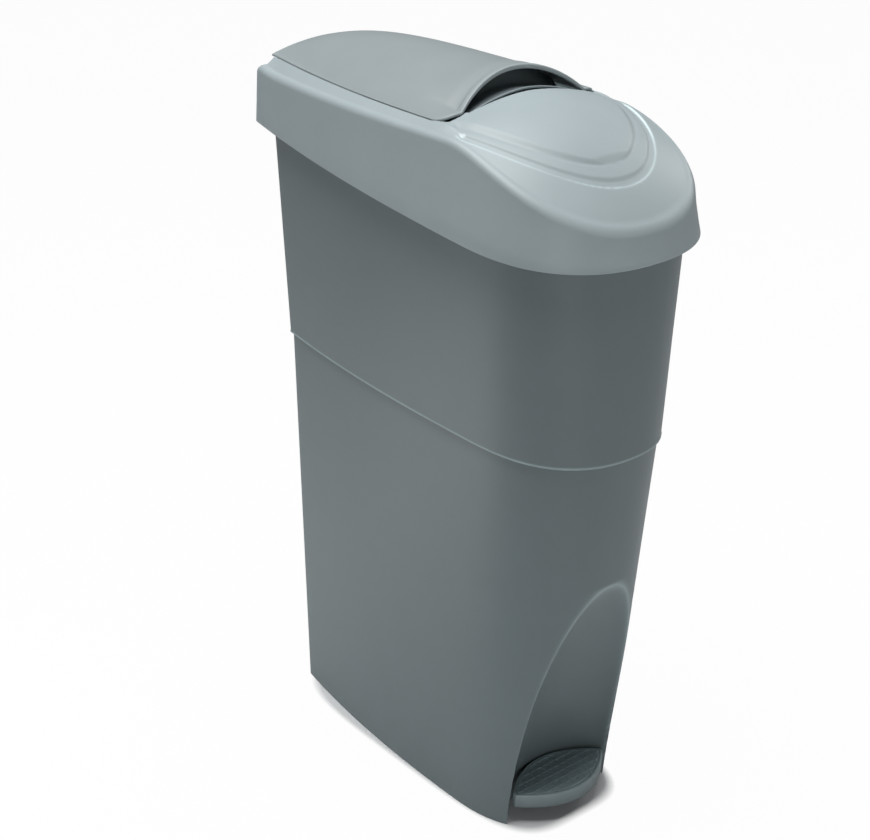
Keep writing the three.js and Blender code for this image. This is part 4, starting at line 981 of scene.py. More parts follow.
@dataclass(frozen=True)
class BinBody:
    """The body: drafted walls, a step, a toe recess in the nose and a raised floor.

    Profiles are rows of a step outwards or inwards, a height and, where there is a third number, the
    mask of worn edges; on the step and the bead that mask is a painted highlight along the step line.
    Bands are rows of a first height, an end and a pitch.
    """

    form: BinForm
    wall: float = 2.5
    step_slope: float = 0.9
    floor_z: float = 46.0
    floor_top: float = 49.0
    ledge_z: float = 490.0
    ledge_height: float = 3.0
    ledge_depth: float = 3.5
    ledge_run_out: float = 4.0
    recess_apex: float = 228.5
    recess_inset: float = 9.4
    recess_half_depth: float = 40.0
    recess_reach: float = 97.0
    recess_lean: float = 1.65
    recess_edge: float = 2.2
    hollow_edge: float = 0.6
    inner_edge: float = 1.2
    worn_fade: float = 1.6
    worn_above: float = 3.0
    centre_y: float = 40.0
    least_crossing: float = 0.1
    edge_spread: float = 0.045
    edge_spread_share: float = 0.4
    ray_counts: tuple[int, ...] = (27, 23, 71, 9, 15)
    hollow_rows: tuple[float, ...] = (30.0, 15.0, 0.6)
    foot_flat: float = 0.5
    foot_profile: tuple[tuple[float, float], ...] = ((0.6, 0.0), (0.15, 0.18), (0.0, 0.7))
    wall_bands: tuple[tuple[float, float, float], ...] = (
        (4.0, 150.0, 4.0), (150.0, 204.0, 2.5), (204.0, 220.5, 1.2), (220.5, 233.5, 0.7),
        (234.5, 336.0, 8.0),
    )
    # The third numbers of the step and bead profiles paint a highlight along the step line.
    step_profile: tuple[tuple[float, float, float], ...] = (
        (0.0, -2.2, 0.0), (0.0, -1.2, 0.0), (0.0, -0.45, 0.0), (0.12, -0.12, 0.15), (0.45, 0.0, 0.3),
    )
    bead_profile: tuple[tuple[float, float, float], ...] = (
        (-0.7, 0.02, 0.6), (0.05, 0.12, 1.0), (0.38, 0.45, 1.0), (0.45, 0.9, 1.0), (0.36, 1.35, 1.0),
        (0.16, 1.8, 0.6), (0.03, 2.3, 0.15), (0.0, 3.2, 0.0),
    )
    upper_rows: tuple[float, float, int] = (0.04, 0.985, 24)
    rim_round: float = 0.9
    rim_profile: tuple[tuple[float, float], ...] = (
        (0.12, 0.4), (0.4, 0.1), (0.9, 0.0), (1.6, 0.0), (2.1, 0.1), (2.4, 0.4),
    )
    rim_wear: float = 0.3
    inner_rows: tuple[float, ...] = (440.0, 390.0)
    inner_low_rows: tuple[float, ...] = (330.0, 300.0, 270.0, 255.0)
    inner_low_bands: tuple[tuple[float, float, float], ...] = ((248.0, 216.0, -2.0), (212.0, 56.0, -6.0))
    slot_half: float = 18.0
    slot_front: float = -113.0
    slot_back: float = -89.0
    slot_top: float = 25.0
    slot_below: float = 1.0
    rod_hole: float = 6.6
    rod_foot_y: float = 148.7
    rod_foot_z: float = 17.0
    hole_overrun: float = 2.0
    boss_radius: float = 8.0
    boss_bottom: float = 4.0
    boss_sink: float = 1.0
    boss_front_y: float = -58.0
    boss_from_back: float = 29.0
    boss_inset: float = 13.0
    plan: OutlinePlan = OutlinePlan(40, 40, 240, 260)

    def reach(self, z: Array) -> Array:
        """Returns how far ahead of the middle the toe recess's wall stands.

        Args:
            z: Heights.
        Returns:
            The recess's reach at those heights, beyond the wall above its apex.
        """
        top = self.form.lower(self.recess_apex).front
        lean = ease_out(1 - z / self.recess_apex, self.recess_lean)
        return mix(top, self.recess_reach, lean) + np.maximum(z - self.recess_apex, 0)

    def recess_entry(self, angle: Array, z: Array, grow: float) -> Array:
        """Returns how far from the middle line each ray meets the toe recess.

        Args:
            angle: The ray's angle from the nose's direction.
            z: The ray's height.
            grow: How much wider than the recess itself the met surface is.
        Returns:
            The distance along the ray, very long where it misses.
        """
        wide = self.form.base.half_width - self.recess_inset + grow
        deep = self.recess_half_depth + grow
        offset = self.centre_y - (grow - self.reach(z) - deep)
        sine, cosine = np.sin(angle), np.cos(angle)
        square = (sine / wide) ** 2 + (cosine / deep) ** 2
        half = offset * cosine / deep**2
        rest = (offset / deep) ** 2 - 1
        inside = half**2 - square * rest
        entry = (half - np.sqrt(np.maximum(inside, 0))) / square
        return np.where((inside > 0) & (cosine > 0), entry, FAR_AWAY)

    def ring(self, level: Callable[[Array, Array], Level], inset: float, height: Row,
             edge_width: float) -> tuple[Array, Array]:
        """Returns a ring of the wall with the toe recess in it.

        Args:
            level: Gives the wall's outline at z and y.
            inset: How far inside the outer face the ring lies.
            height: Gives the ring's height at y.
            edge_width: How softly the recess's edge is rounded.
        Returns:
            The ring's points and its mask of worn edges.
        """
        start_x, start_y = self.plan.half(level(self.form.waist.z, 0.0).grown(-inset))
        z = height(start_y) + 0 * start_y
        x, y = self.plan.half(level(z, start_y).grown(-inset))
        angle = np.arctan2(x, self.centre_y - y)[::-1]
        reach = np.hypot(x, y - self.centre_y)[::-1]
        z = z[::-1]
        corner_side = np.interp(self.plan.flat_count + self.plan.corner_count,
                                np.arange(len(angle)), angle[::-1])
        corner_back = angle[::-1][self.plan.flat_count]
        entry = self.recess_entry(angle, z, inset)
        met = angle[entry < reach]
        crossing = max(float(met.max()) if len(met) else 0.0, self.least_crossing)
        spread = min(self.edge_spread, crossing * self.edge_spread_share)
        stops = (0.0, crossing - spread, crossing + spread, corner_side, corner_back, math.pi)
        spans = [np.linspace(*span) for span in zip(stops, stops[1:], self.ray_counts)]
        rays = np.concatenate([*(span[:-1] for span in spans[:-1]), spans[-1]])
        wall = np.interp(rays, angle, reach)
        ray_z = np.interp(rays, angle, z)
        entry = self.recess_entry(rays, ray_z, inset)
        distance = soft_lower(wall, entry, edge_width)
        ring_x = distance * np.sin(rays)
        ring_x[0] = ring_x[-1] = 0.0
        points = mirrored(ring_x, self.centre_y - distance * np.cos(rays), ray_z)
        low_enough = ray_z < self.recess_apex + self.worn_above
        worn_and_highlit = np.exp(-np.abs(wall - entry) / self.worn_fade) * low_enough
        return points, np.concatenate([worn_and_highlit, worn_and_highlit[-2:0:-1]])

    def shell(self) -> Solid:
        """Lofts the body in one closed skin, from under its floor round the rim to its inside.

        Returns:
            The solid.
        """
        rings: list[Array] = []
        edges: list[Array] = []
        form, wall = self.form, self.wall

        def lower(z: Array, _y: Array) -> Level:
            """Returns the lower wall's outline at a height."""
            return form.lower(z)

        def above_step(rise: float) -> Row:
            """Returns the height of a row that follows the step."""
            return lambda y: form.step_z(y) + rise

        def add(level: Callable[[Array, Array], Level], inset: float, height: Row,
                edge: float | None = None, soft: float = self.recess_edge) -> None:
            """Adds a ring.

            Args:
                level: Gives the wall's outline at z and y.
                inset: How far inside the outer face the ring lies.
                height: Gives the ring's height at y.
                edge: One value of the mask of worn edges and painted highlights all round, or None for the
                    ring's own mask.
                soft: How softly the recess's edge is rounded.
            """
            points, worn_and_highlit = self.ring(level, inset, height, soft)
            rings.append(points)
            edges.append(worn_and_highlit if edge is None else np.full(len(worn_and_highlit), edge))

        for z in (self.floor_z, *self.hollow_rows):
            add(lower, wall, level_row(z), 0.0, self.hollow_edge)
        for inset, z in ((wall - self.foot_flat, 0.0), *self.foot_profile):
            add(lower, inset, level_row(z))
        for z in np.concatenate([np.arange(*band) for band in self.wall_bands]):
            add(lower, 0.0, lambda y, z=z: z / form.waist.z * form.step_z(y))
        # The step and the bead rings carry the painted highlight of the step line in their mask.
        for out, rise, edge in self.step_profile:
            add(lower, -out, above_step(rise), edge)
        for out, rise, edge in self.bead_profile:
            add(form.upper, -out, above_step(rise), edge)
        for share in np.linspace(*self.upper_rows):
            add(form.upper, 0.0, lambda y, share=share: mix(form.step_z(y), form.rim_z(y), share), 0.0)
        for inset, drop in ((0.0, self.rim_round), *self.rim_profile, (wall, self.rim_round)):
            add(form.upper, inset, lambda y, drop=drop: form.rim_z(y) - drop, self.rim_wear)
        bottom = self.ledge_z - self.ledge_height
        inside = ((0.0, self.ledge_z), (self.ledge_depth, self.ledge_z), (self.ledge_depth, bottom),
                  (0.0, bottom - self.ledge_run_out), *((0.0, z) for z in self.inner_rows))
        for further, z in inside:
            add(form.upper, wall + further, level_row(z), 0.0)
        add(form.upper, wall, above_step(self.step_slope), 0.0)
        add(lower, wall, form.step_z, 0.0)
        bands = [np.arange(*band) for band in self.inner_low_bands]
        for z in np.concatenate([self.inner_low_rows, *bands, [self.floor_top]]):
            add(lower, wall, level_row(z), 0.0, self.inner_edge)
        return Solid.loft(rings, edges, self.centre_y)

    def build(self, finishes: Materials) -> None:
        """Builds and dresses the body.

        Args:
            finishes: The materials by slot.
        """
        piece = self.shell().made("bin_body")
        base = self.form.base
        tilt = (self.form.waist_low.back - base.back) / self.form.waist.z
        rod_y = self.rod_foot_y + (self.floor_z - self.rod_foot_z) * tilt
        low, high = self.floor_z - self.hole_overrun, self.floor_top + self.hole_overrun
        carve(piece, Solid.turned([(self.rod_hole, low), (self.rod_hole, high)], 0.0, rod_y), Cut.REMOVE)
        slot = Solid.block((-self.slot_half, self.slot_front, -self.slot_below),
                           (self.slot_half, self.slot_back, self.slot_top))
        carve(piece, slot, Cut.REMOVE)
        boss_top = self.floor_z + self.boss_sink
        boss = [(self.boss_radius, self.boss_bottom), (self.boss_radius, boss_top)]
        for y in (self.boss_front_y, base.back - self.boss_from_back):
            x = float(base.half_width_at(y)) - self.boss_inset
            for side in (-1, 1):
                carve(piece, Solid.turned(boss, side * x, y), Cut.JOIN)
        dress(piece, "container", "body_plastic", finishes["body_plastic"], "body_shell")


@dataclass(frozen=True)
class BinLid:
    """The lid: skirt, drafted walls, round shoulder, domed nose with a groove, and flap opening."""

    form: BinForm
    wall: float = 2.5
    lip_round: float = 0.8
    lip_count: int = 5
    shoulder_count: int = 9
    wall_shares: tuple[float, ...] = (0.25, 0.5, 0.75)
    fine_rows: tuple[tuple[float, float, int], ...] = ((0.012, 0.36, 72), (0.37, 0.9, 60))
    coarse_rows: tuple[float, float, int] = (0.04, 0.9, 26)
    cut_below: float = 1.0
    dome_raise: float = 1.8
    dome_y: float = -50.0
    dome_half: float = 74.0
    dome_length: float = 92.0
    dome_taper: float = 1.6
    dome_edge: float = 6.0
    dome_behind: float = 4.0
    dome_fade: float = 3.0
    valley: float = 0.3
    valley_out: float = 1.0
    valley_half: float = 1.8
    groove_y: float = -30.0
    groove_half: float = 86.0
    groove_length: float = 124.5
    groove_span: float = 0.79
    groove_depth: float = 1.3
    groove_floor: float = 1.9
    groove_flank: float = 1.5
    # Width and strength of the painted highlight along the groove's outer flank.
    painted_highlight_half: float = 1.1
    painted_highlight_least: float = 0.3
    painted_highlight_front: float = -135.0
    painted_highlight_fade: float = 35.0
    ledge_width: float = 5.0
    ledge_root: float = 3.0
    ledge_depth: float = 2.5
    ledge_below: float = 5.0
    ledge_start: float = 25.0
    ledge_end: float = 1.0
    ledge_counts: tuple[int, int] = (4, 40)
    slot_half: float = 60.0
    slot_depth: float = 22.0
    slot_drop: float = 6.5
    slot_behind: float = 1.0
    gap: float = 1.0
    opening_count: int = 81
    mouth_count: int = 9
    lug_places: tuple[float, ...] = (-50.0, -15.0, 15.0, 50.0)
    lug_half: float = 3.5
    lug_front: float = 2.5
    lug_back: float = 2.4
    lug_height: float = 12.0
    rib_shares: tuple[float, ...] = (0.16, 0.37, 0.6, 0.8)
    rear_rib_places: tuple[float, ...] = (-50.0, 50.0)
    rib_half: float = 1.0
    rib_gap: float = 0.3
    rib_height: float = 5.0
    rib_overlap: float = 7.0
    rib_above_skirt: float = 12.3
    rib_sink: float = 1.5
    plan: OutlinePlan = OutlinePlan(16, 8, 64, 90)

    def dome_width(self, y: Array) -> Array:
        """Returns half the dome's width."""
        share = clamp((self.dome_y - y) / self.dome_length)
        return self.dome_half * np.sqrt(1 - share**self.dome_taper)

    def relief(self, x: Array, y: Array) -> Array:
        """Returns how far the dome and the groove raise or sink the lid's top.

        Args:
            x: Places across.
            y: Places along.
        Returns:
            What is added to the height there.
        """
        margin = np.minimum(self.dome_width(y) - np.abs(x), y - self.dome_y + self.dome_length)
        ahead = smooth((self.form.flap_front + self.dome_behind - y) / self.dome_fade)
        dome = self.dome_raise * smooth(margin / self.dome_edge)
        hollow = self.valley * np.exp(-((margin + self.valley_out) / self.valley_half) ** 2)
        dome = (dome - hollow) * ahead
        aside = np.abs(self.off_groove(x, y))
        return dome - self.groove_depth * (1 - smooth((aside - self.groove_floor) / self.groove_flank))

    def off_groove(self, x: Array, y: Array) -> Array:
        """Measures from the groove's middle line, which is part of an oval.

        Args:
            x: Places across.
            y: Places along.
        Returns:
            How far outside the line each point lies, below 0 inside it.
        """
        across, along = x / self.groove_half, (y - self.groove_y) / self.groove_length
        radius = np.maximum(np.hypot(across, along), TINY)
        slope = np.hypot(across / self.groove_half, along / self.groove_length) / radius
        aside = (radius - 1) / np.maximum(slope, TINY)
        end = self.groove_span * math.pi / 2
        end_x = self.groove_half * math.sin(end)
        end_y = self.groove_y - self.groove_length * math.cos(end)
        return np.where(y > end_y, np.hypot(np.abs(x) - end_x, y - end_y), aside)

    def painted_groove_highlight(self, ring: Array) -> Array:
        """Returns the mask of a painted highlight along the groove's outer flank on a ring.

        Args:
            ring: The ring's points.
        Returns:
            The mask, weaker at the nose.
        """
        x, y = ring[:, 0], ring[:, 1]
        from_flank = self.off_groove(x, y) - self.groove_floor - self.groove_flank / 2
        strength = mix(self.painted_highlight_least, 1.0, smooth((y - self.painted_highlight_front) / self.painted_highlight_fade))
        return np.exp(-((from_flank / self.painted_highlight_half) ** 2)) * strength

    def top(self, x: Array, y: Array) -> Array:
        """Returns the height of the lid's outer face inside its shoulder."""
        return self.form.lid_top(x, y) + self.relief(x, y)

    def leaning(self, inset: float, further: float) -> tuple[Array, Array]:
        """Draws half the outline in by the wall's lean and more.

        Args:
            inset: How far inside the outer wall the outline starts.
            further: How much more it is drawn in.
        Returns:
            x and y of the half.
        """
        x, y = self.plan.half(self.form.lid.grown(-inset))
        amount = inset + self.form.wall_lean(x, y) + further
        return self.plan.half(self.form.lid.grown(-amount))

    def rings(self, inset: float, sink: float, top: Height, shares: Array) -> list[Array]:
        """Returns the rings of the lid's outer or inner face, from the skirt's edge to the middle.

        Args:
            inset: How far inside the outer wall the face lies.
            sink: How far below the outer top the face lies.
            top: The height of the top inside the shoulder.
            shares: Where the rings of the top lie, from the shoulder at 0 to the middle at 1.
        Returns:
            The rings.
        """
        form = self.form
        level = form.lid
        x, y = self.plan.half(level.grown(-inset))
        foot = form.skirt_line(y)
        shoulder = form.shoulder(x, y) - form.shoulder_round
        if sink > 0:
            rings = [mirrored(x, y, foot - self.cut_below)]
        else:
            rings = []
            for turn in quarter_turn(self.lip_count):
                aside = self.lip_round * (1 - math.sin(turn))
                near_x, near_y = self.plan.half(level.grown(-aside))
                rings.append(mirrored(near_x, near_y, foot + self.lip_round * (1 - math.cos(turn))))
        for share in self.wall_shares:
            lean = form.wall_lean(x, y) * share
            near_x, near_y = self.plan.half(level.grown(-inset - lean))
            rings.append(mirrored(near_x, near_y, mix(foot, shoulder, share)))
        radius = form.shoulder_round - sink
        for turn in quarter_turn(self.shoulder_count):
            near_x, near_y = self.leaning(inset, radius * (1 - math.cos(turn)))
            below = sink + radius * (1 - math.sin(turn))
            rings.append(mirrored(near_x, near_y, form.shoulder(near_x, near_y) - below))
        near_x, near_y = self.leaning(inset, radius)
        middle = (level.back - level.front) / 2
        for share in shares:
            part_x, part_y = near_x * (1 - share), mix(near_y, middle, share)
            rings.append(mirrored(part_x, part_y, top(part_x, part_y) - sink))
        return rings

    def ledge_top(self, _x: Array, y: Array) -> Array:
        """Returns the height of the ledge under the flap's edge."""
        return self.form.flap_edge_z(y) - self.ledge_below

    def ledge(self, side: int) -> Solid:
        """Builds the ledge along one side of the opening.

        Args:
            side: -1 for the left and 1 for the right.
        Returns:
            The solid.
        """
        form = self.form

        def plan(u: Array, v: Array) -> tuple[Array, Array]:
            """Places the grid on the ledge.

            Args:
                u: Shares across.
                v: Shares along.
            Returns:
                x and y.
            """
            y = mix(form.hinge_y - self.ledge_start, form.flap_front + self.ledge_end, v)
            edge = form.flap_half_width(y) + self.gap
            return side * mix(edge - self.ledge_width, edge + self.ledge_root, u), y

        across, along = (np.linspace(0, 1, count) for count in self.ledge_counts)
        return Solid.skin(plan, lambda x, y: form.lid_top(x, y) - self.wall / 2,
                          lambda x, y: self.ledge_top(x, y) - self.ledge_depth, across, along)

    def opening(self) -> Solid:
        """Returns the tool that cuts the opening under the flap."""
        shares = np.linspace(0, 1, self.opening_count)
        return Solid.skin(BinFlap(self.form).plan_with(self.gap), lambda x, y: ABOVE_ALL + 0 * x,
                          self.ledge_top, shares, shares)

    def mouth(self) -> Solid:
        """Builds the tool that cuts the opening on under the hood, up to the finger pocket's rim.

        Returns:
            The solid.
        """
        form = self.form

        def plan(u: Array, v: Array) -> tuple[Array, Array]:
            """Returns x and y in the mouth."""
            x = mix(-form.pocket_half_width, form.pocket_half_width, u)
            return x, mix(form.flap_front + form.hood_set_back, form.pocket_rim(x) - form.mouth_gap, v)

        across = np.linspace(0, 1, self.opening_count)
        along = np.linspace(0, 1, self.mouth_count)
        return Solid.skin(plan, lambda x, y: ABOVE_ALL + 0 * x, self.ledge_top, across, along)

    def lugs(self) -> list[Solid]:
        """Builds the lugs that hold the hinge pin.

        Returns:
            A block and a round knuckle for each lug.
        """
        form = self.form
        pieces = []
        for place in self.lug_places:
            x0, x1 = place - self.lug_half, place + self.lug_half
            low = (x0, form.hinge_y - self.lug_front, form.hinge_z - self.lug_height)
            high = (x1, form.hinge_y + self.lug_back, form.hinge_z)
            pieces.append(Solid.block(low, high))
            pieces.append(Solid.bar(form.knuckle, x0, x1, form.hinge_y, form.hinge_z))
        return pieces

    def ribs(self) -> list[Solid]:
        """Builds the ribs under the skirt that rest on the body's rim.

        Returns:
            The ribs at the sides, the nose and the back.
        """
        form, half, height = self.form, self.rib_half, self.rib_height
        pieces = []
        for share in self.rib_shares:
            y = mix(form.rim.back, -form.rim.front, share)
            z = float(form.rim_z(y + half)) + self.rib_gap
            draft = mix(form.rear_draft, form.nose_draft, share)
            root = self.wall + draft * self.rib_above_skirt - self.rib_sink
            outer = float(form.lid.half_width_at(y)) - root
            inner = float(form.rim.half_width_at(y)) - self.rib_overlap
            pieces.append(Solid.block((inner, y - half, z), (outer, y + half, z + height)))
            pieces.append(Solid.block((-outer, y - half, z), (-inner, y + half, z + height)))
        nose_in = -form.rim.front + self.rib_overlap
        nose_z = float(form.rim_z(nose_in)) + self.rib_gap
        nose_lean = form.nose_draft * self.rib_above_skirt
        nose_out = -form.lid.front + self.wall + nose_lean - self.rib_sink
        pieces.append(Solid.block((-half, nose_out, nose_z), (half, nose_in, nose_z + height)))
        back_in = form.rim.back - self.rib_overlap
        back_z = float(form.rim_z(form.rim.back)) + self.rib_gap
        back_root = self.wall + form.rear_draft * self.rib_above_skirt - self.rib_sink
        back_out = form.lid.back - back_root
        for x in self.rear_rib_places:
            pieces.append(Solid.block((x - half, back_in, back_z), (x + half, back_out, back_z + height)))
        return pieces

    def build(self, finishes: Materials) -> None:
        """Builds and dresses the lid.

        Args:
            finishes: The materials by slot.
        """
        form = self.form
        fine = np.concatenate([np.linspace(*rows) for rows in self.fine_rows])
        rings = self.rings(0.0, 0.0, self.top, fine)
        first = len(rings) - len(fine)
        # The lid's mask holds only the painted highlight along the groove's outer flank.
        edges = [self.painted_groove_highlight(ring) * (place >= first) for place, ring in enumerate(rings)]
        piece = Solid.loft(rings, edges).made("bin_lid")
        coarse = np.linspace(*self.coarse_rows)
        carve(piece, Solid.loft(self.rings(self.wall, self.wall, form.lid_top, coarse)), Cut.REMOVE)
        for side in (-1, 1):
            carve(piece, self.ledge(side), Cut.JOIN)
        carve(piece, self.opening(), Cut.REMOVE)
        carve(piece, self.mouth(), Cut.REMOVE)
        slot = Solid.block((-self.slot_half, form.flap_rear - self.slot_depth, form.hinge_z - self.slot_drop),
                           (self.slot_half, form.lid.back + self.slot_behind, ABOVE_ALL))
        carve(piece, slot, Cut.REMOVE)
        for solid in (*self.lugs(), *self.ribs()):
            carve(piece, solid, Cut.JOIN)
        pin = Solid.bar(form.pin_bore, -form.pin_half, form.pin_half, form.hinge_y, form.hinge_z)
        carve(piece, pin, Cut.REMOVE)
        dress(piece, "lid", "lid_plastic", finishes["lid_plastic"], "lid_frame")


@dataclass(frozen=True)
class BinFlap:
    """The flap: a crowned panel whose front rises in a hood over the finger pocket."""

    form: BinForm
    skin: float = 2.5
    corner_radius: float = 14.0
    rear_crown: float = 9.0
    crown_rise: float = 16.5
    crown_curve: float = 4.5
    hood_height: float = 24.0
    hood_blend: float = 49.0
    hood_beside: float = 2.0
    hood_fade: float = 5.0
    flange_rise: float = 5.6
    flange_curve: float = 2.2
    edge_round: float = 1.15
    edge_rows: tuple[float, ...] = (0.0, 0.04, 0.15, 0.35, 0.65, 1.0)
    across_count: int = 121
    across_length: float = 150.0
    along_count: int = 110
    along_length: float = 230.0
    hood_rows: tuple[float, float, int] = (0.94, 0.99, 14)
    lip_width: float = 4.2
    lip_thick: float = 1.3
    lip_before: float = 1.0
    lip_fade: float = 2.0
    lip_valley: float = 1.0
    valley_start: float = 2.2
    valley_hold: float = 3.0
    valley_end: float = 13.0
    knuckle_x: float = 33.0
    knuckle_width: float = 14.0
    web: float = 3.5
    web_gap: float = 0.3
    pocket_depth: float = 36.0
    pocket_sag: float = 3.5
    pocket_skin: float = 2.0
    pocket_sink: float = 0.4
    pocket_lift: float = 4.9
    pocket_upturn: float = 0.62
    pocket_roof_gap: float = 0.5
    pocket_round: float = 0.9
    pocket_length: float = 110.0
    pocket_counts: tuple[int, int] = (90, 50)

    def plan_with(self, grow: float) -> Plan:
        """Makes the flap's plan, moved outwards.

        Args:
            grow: How far it is moved.
        Returns:
            A function that gives x and y for shares across and along.
        """
        form = self.form

        def plan(across: Array, along: Array) -> tuple[Array, Array]:
            """Places the grid on the flap.

            Args:
                across: Shares across.
                along: Shares along.
            Returns:
                x and y.
            """
            side = 2 * across - 1
            front_half = float(form.flap_half_width(form.flap_front))
            x = np.abs(side) * front_half
            into = np.maximum(x - (front_half - self.corner_radius), 0)
            corner = self.corner_radius - np.sqrt(np.maximum(self.corner_radius**2 - into**2, 0))
            y = mix(form.flap_rear + grow, form.hood_edge(x) + corner - grow, along)
            return side * (form.flap_half_width(y) + grow), y

        return plan

    def top(self, x: Array, y: Array) -> Array:
        """Returns the height of the flap's outer face without its lip.

        Args:
            x: Places across.
            y: Places along.
        Returns:
            The height: a crowned panel that becomes an arched hood with flanges at the front.
        """
        form = self.form
        edge = form.flap_edge_z(y)
        crown = self.rear_crown + self.crown_rise * ease_out(form.along_flap(y), self.crown_curve)
        panel = edge + crown * np.maximum(1 - (x / form.flap_half_width(y)) ** 2, 0)
        half = form.hood_half_width
        radius = (half**2 + self.hood_height**2) / (2 * self.hood_height)
        drop = radius - np.sqrt(np.maximum(radius**2 - x**2, 0))
        flange = ease_out((half + form.hood_flange - np.abs(x)) / form.hood_flange, self.flange_curve)
        arch = edge + self.flange_rise * flange + np.maximum(self.hood_height - drop, 0)
        return mix(panel, arch, smooth((form.hood_edge(x) + self.hood_blend - y) / self.hood_blend))

    def hood_share(self, x: Array) -> Array:
        """Returns 1 on the hood and 0 beside it."""
        return smooth((self.form.hood_half_width + self.hood_beside - np.abs(x)) / self.hood_fade)

    def lipped_top(self, x: Array, y: Array) -> Array:
        """Returns the outer face with a shallow valley behind the hood's lip.

        Args:
            x: Places across.
            y: Places along.
        Returns:
            The height there.
        """
        behind = y - self.form.hood_edge(x) - self.lip_width
        rise = 1 - smooth((behind - self.valley_hold) / self.valley_end)
        valley = smooth(behind / self.valley_start) * rise
        return self.top(x, y) - self.lip_valley * valley * self.hood_share(x)

    def lipped_under(self, x: Array, y: Array) -> Array:
        """Returns the inner face, lowered under the hood's lip.

        Args:
            x: Places across.
            y: Places along.
        Returns:
            The height there.
        """
        behind = y - self.form.hood_edge(x)
        fade = smooth((behind - self.lip_width + self.lip_before) / self.lip_fade)
        lip = (1 - fade) * self.hood_share(x)
        return self.top(x, y) - self.skin - self.lip_thick * lip

    def edge_shares(self, count: int, length: float) -> Array:
        """Returns grid shares over a length, packed where its two ends are rounded.

        Args:
            count: How many shares lie between the rounded ends.
            length: The length.
        Returns:
            The shares, from 0 to 1.
        """
        near = np.array(self.edge_rows) * self.edge_round / length
        middle = np.linspace(near[-1], 1 - near[-1], count)
        return np.concatenate([near[:-1], middle, 1 - near[-2::-1]])

    def panel(self) -> Solid:
        """Builds the flap's panel with rounded edges and a lip round its hood.

        Returns:
            The solid.
        """
        along = self.edge_shares(self.along_count, self.along_length)
        along = np.unique(np.concatenate([along, np.linspace(*self.hood_rows)]))
        across = self.edge_shares(self.across_count, self.across_length)
        return Solid.skin(self.plan_with(0.0), self.lipped_top, self.lipped_under, across, along,
                          self.edge_round)

    def pocket(self) -> Solid:
        """Builds the finger pocket under the hood.

        Returns:
            The solid.
        """
        form = self.form

        def plan(u: Array, v: Array) -> tuple[Array, Array]:
            """Returns x and y in the pocket."""
            x = mix(-form.pocket_half_width, form.pocket_half_width, u)
            return x, form.pocket_rim(x) + self.pocket_depth * v

        def top(x: Array, y: Array) -> Array:
            """Returns the pocket's height, which turns up to meet the hood at its end.

            Args:
                x: Places across.
                y: Places along.
            Returns:
                The height of its upper face.
            """
            rim = form.pocket_rim(x)
            along = (y - rim) / self.pocket_depth
            floor = form.lid_top(x, rim - form.mouth_gap) - self.pocket_sink
            floor = floor + self.pocket_lift * form.hood_bow(x)
            floor = floor - self.pocket_sag * np.sin(clamp(along) * math.pi)
            roof = self.top(x, y) - self.skin - self.pocket_roof_gap
            upturn = smooth((along - self.pocket_upturn) / (1 - self.pocket_upturn))
            return np.minimum(mix(floor, roof, upturn), roof)

        across_count, along_count = self.pocket_counts
        return Solid.skin(plan, top, lambda x, y: top(x, y) - self.pocket_skin,
                          self.edge_shares(across_count, self.pocket_length),
                          self.edge_shares(along_count, self.pocket_depth), self.pocket_round)

    def build(self, finishes: Materials) -> None:
        """Builds and dresses the flap and its finger pocket.

        Args:
            finishes: The materials by slot.
        """
        form = self.form
        piece = self.panel().made("bin_flap")
        for side in (-1, 1):
            x0 = side * self.knuckle_x - self.knuckle_width / 2
            x1 = x0 + self.knuckle_width
            edges = np.array([x0, x1])
            web_top = float(self.top(edges, np.full(2, form.hinge_y)).min()) - self.skin / 2
            carve(piece, Solid.bar(form.knuckle, x0, x1, form.hinge_y, form.hinge_z), Cut.JOIN)
            carve(piece, Solid.block((x0, form.hinge_y - self.web, form.hinge_z),
                                     (x1, form.flap_rear - self.web_gap, web_top)), Cut.JOIN)
        pin = Solid.bar(form.pin_bore, -form.pin_half, form.pin_half, form.hinge_y, form.hinge_z)
        carve(piece, pin, Cut.REMOVE)
        dress(piece, "flap", "flap_plastic", finishes["flap_plastic"], "flap_panel")
        pocket = self.pocket().made("bin_finger_pocket")
        dress(pocket, "flap", "pocket_plastic", finishes["pocket_plastic"], "finger_pocket")


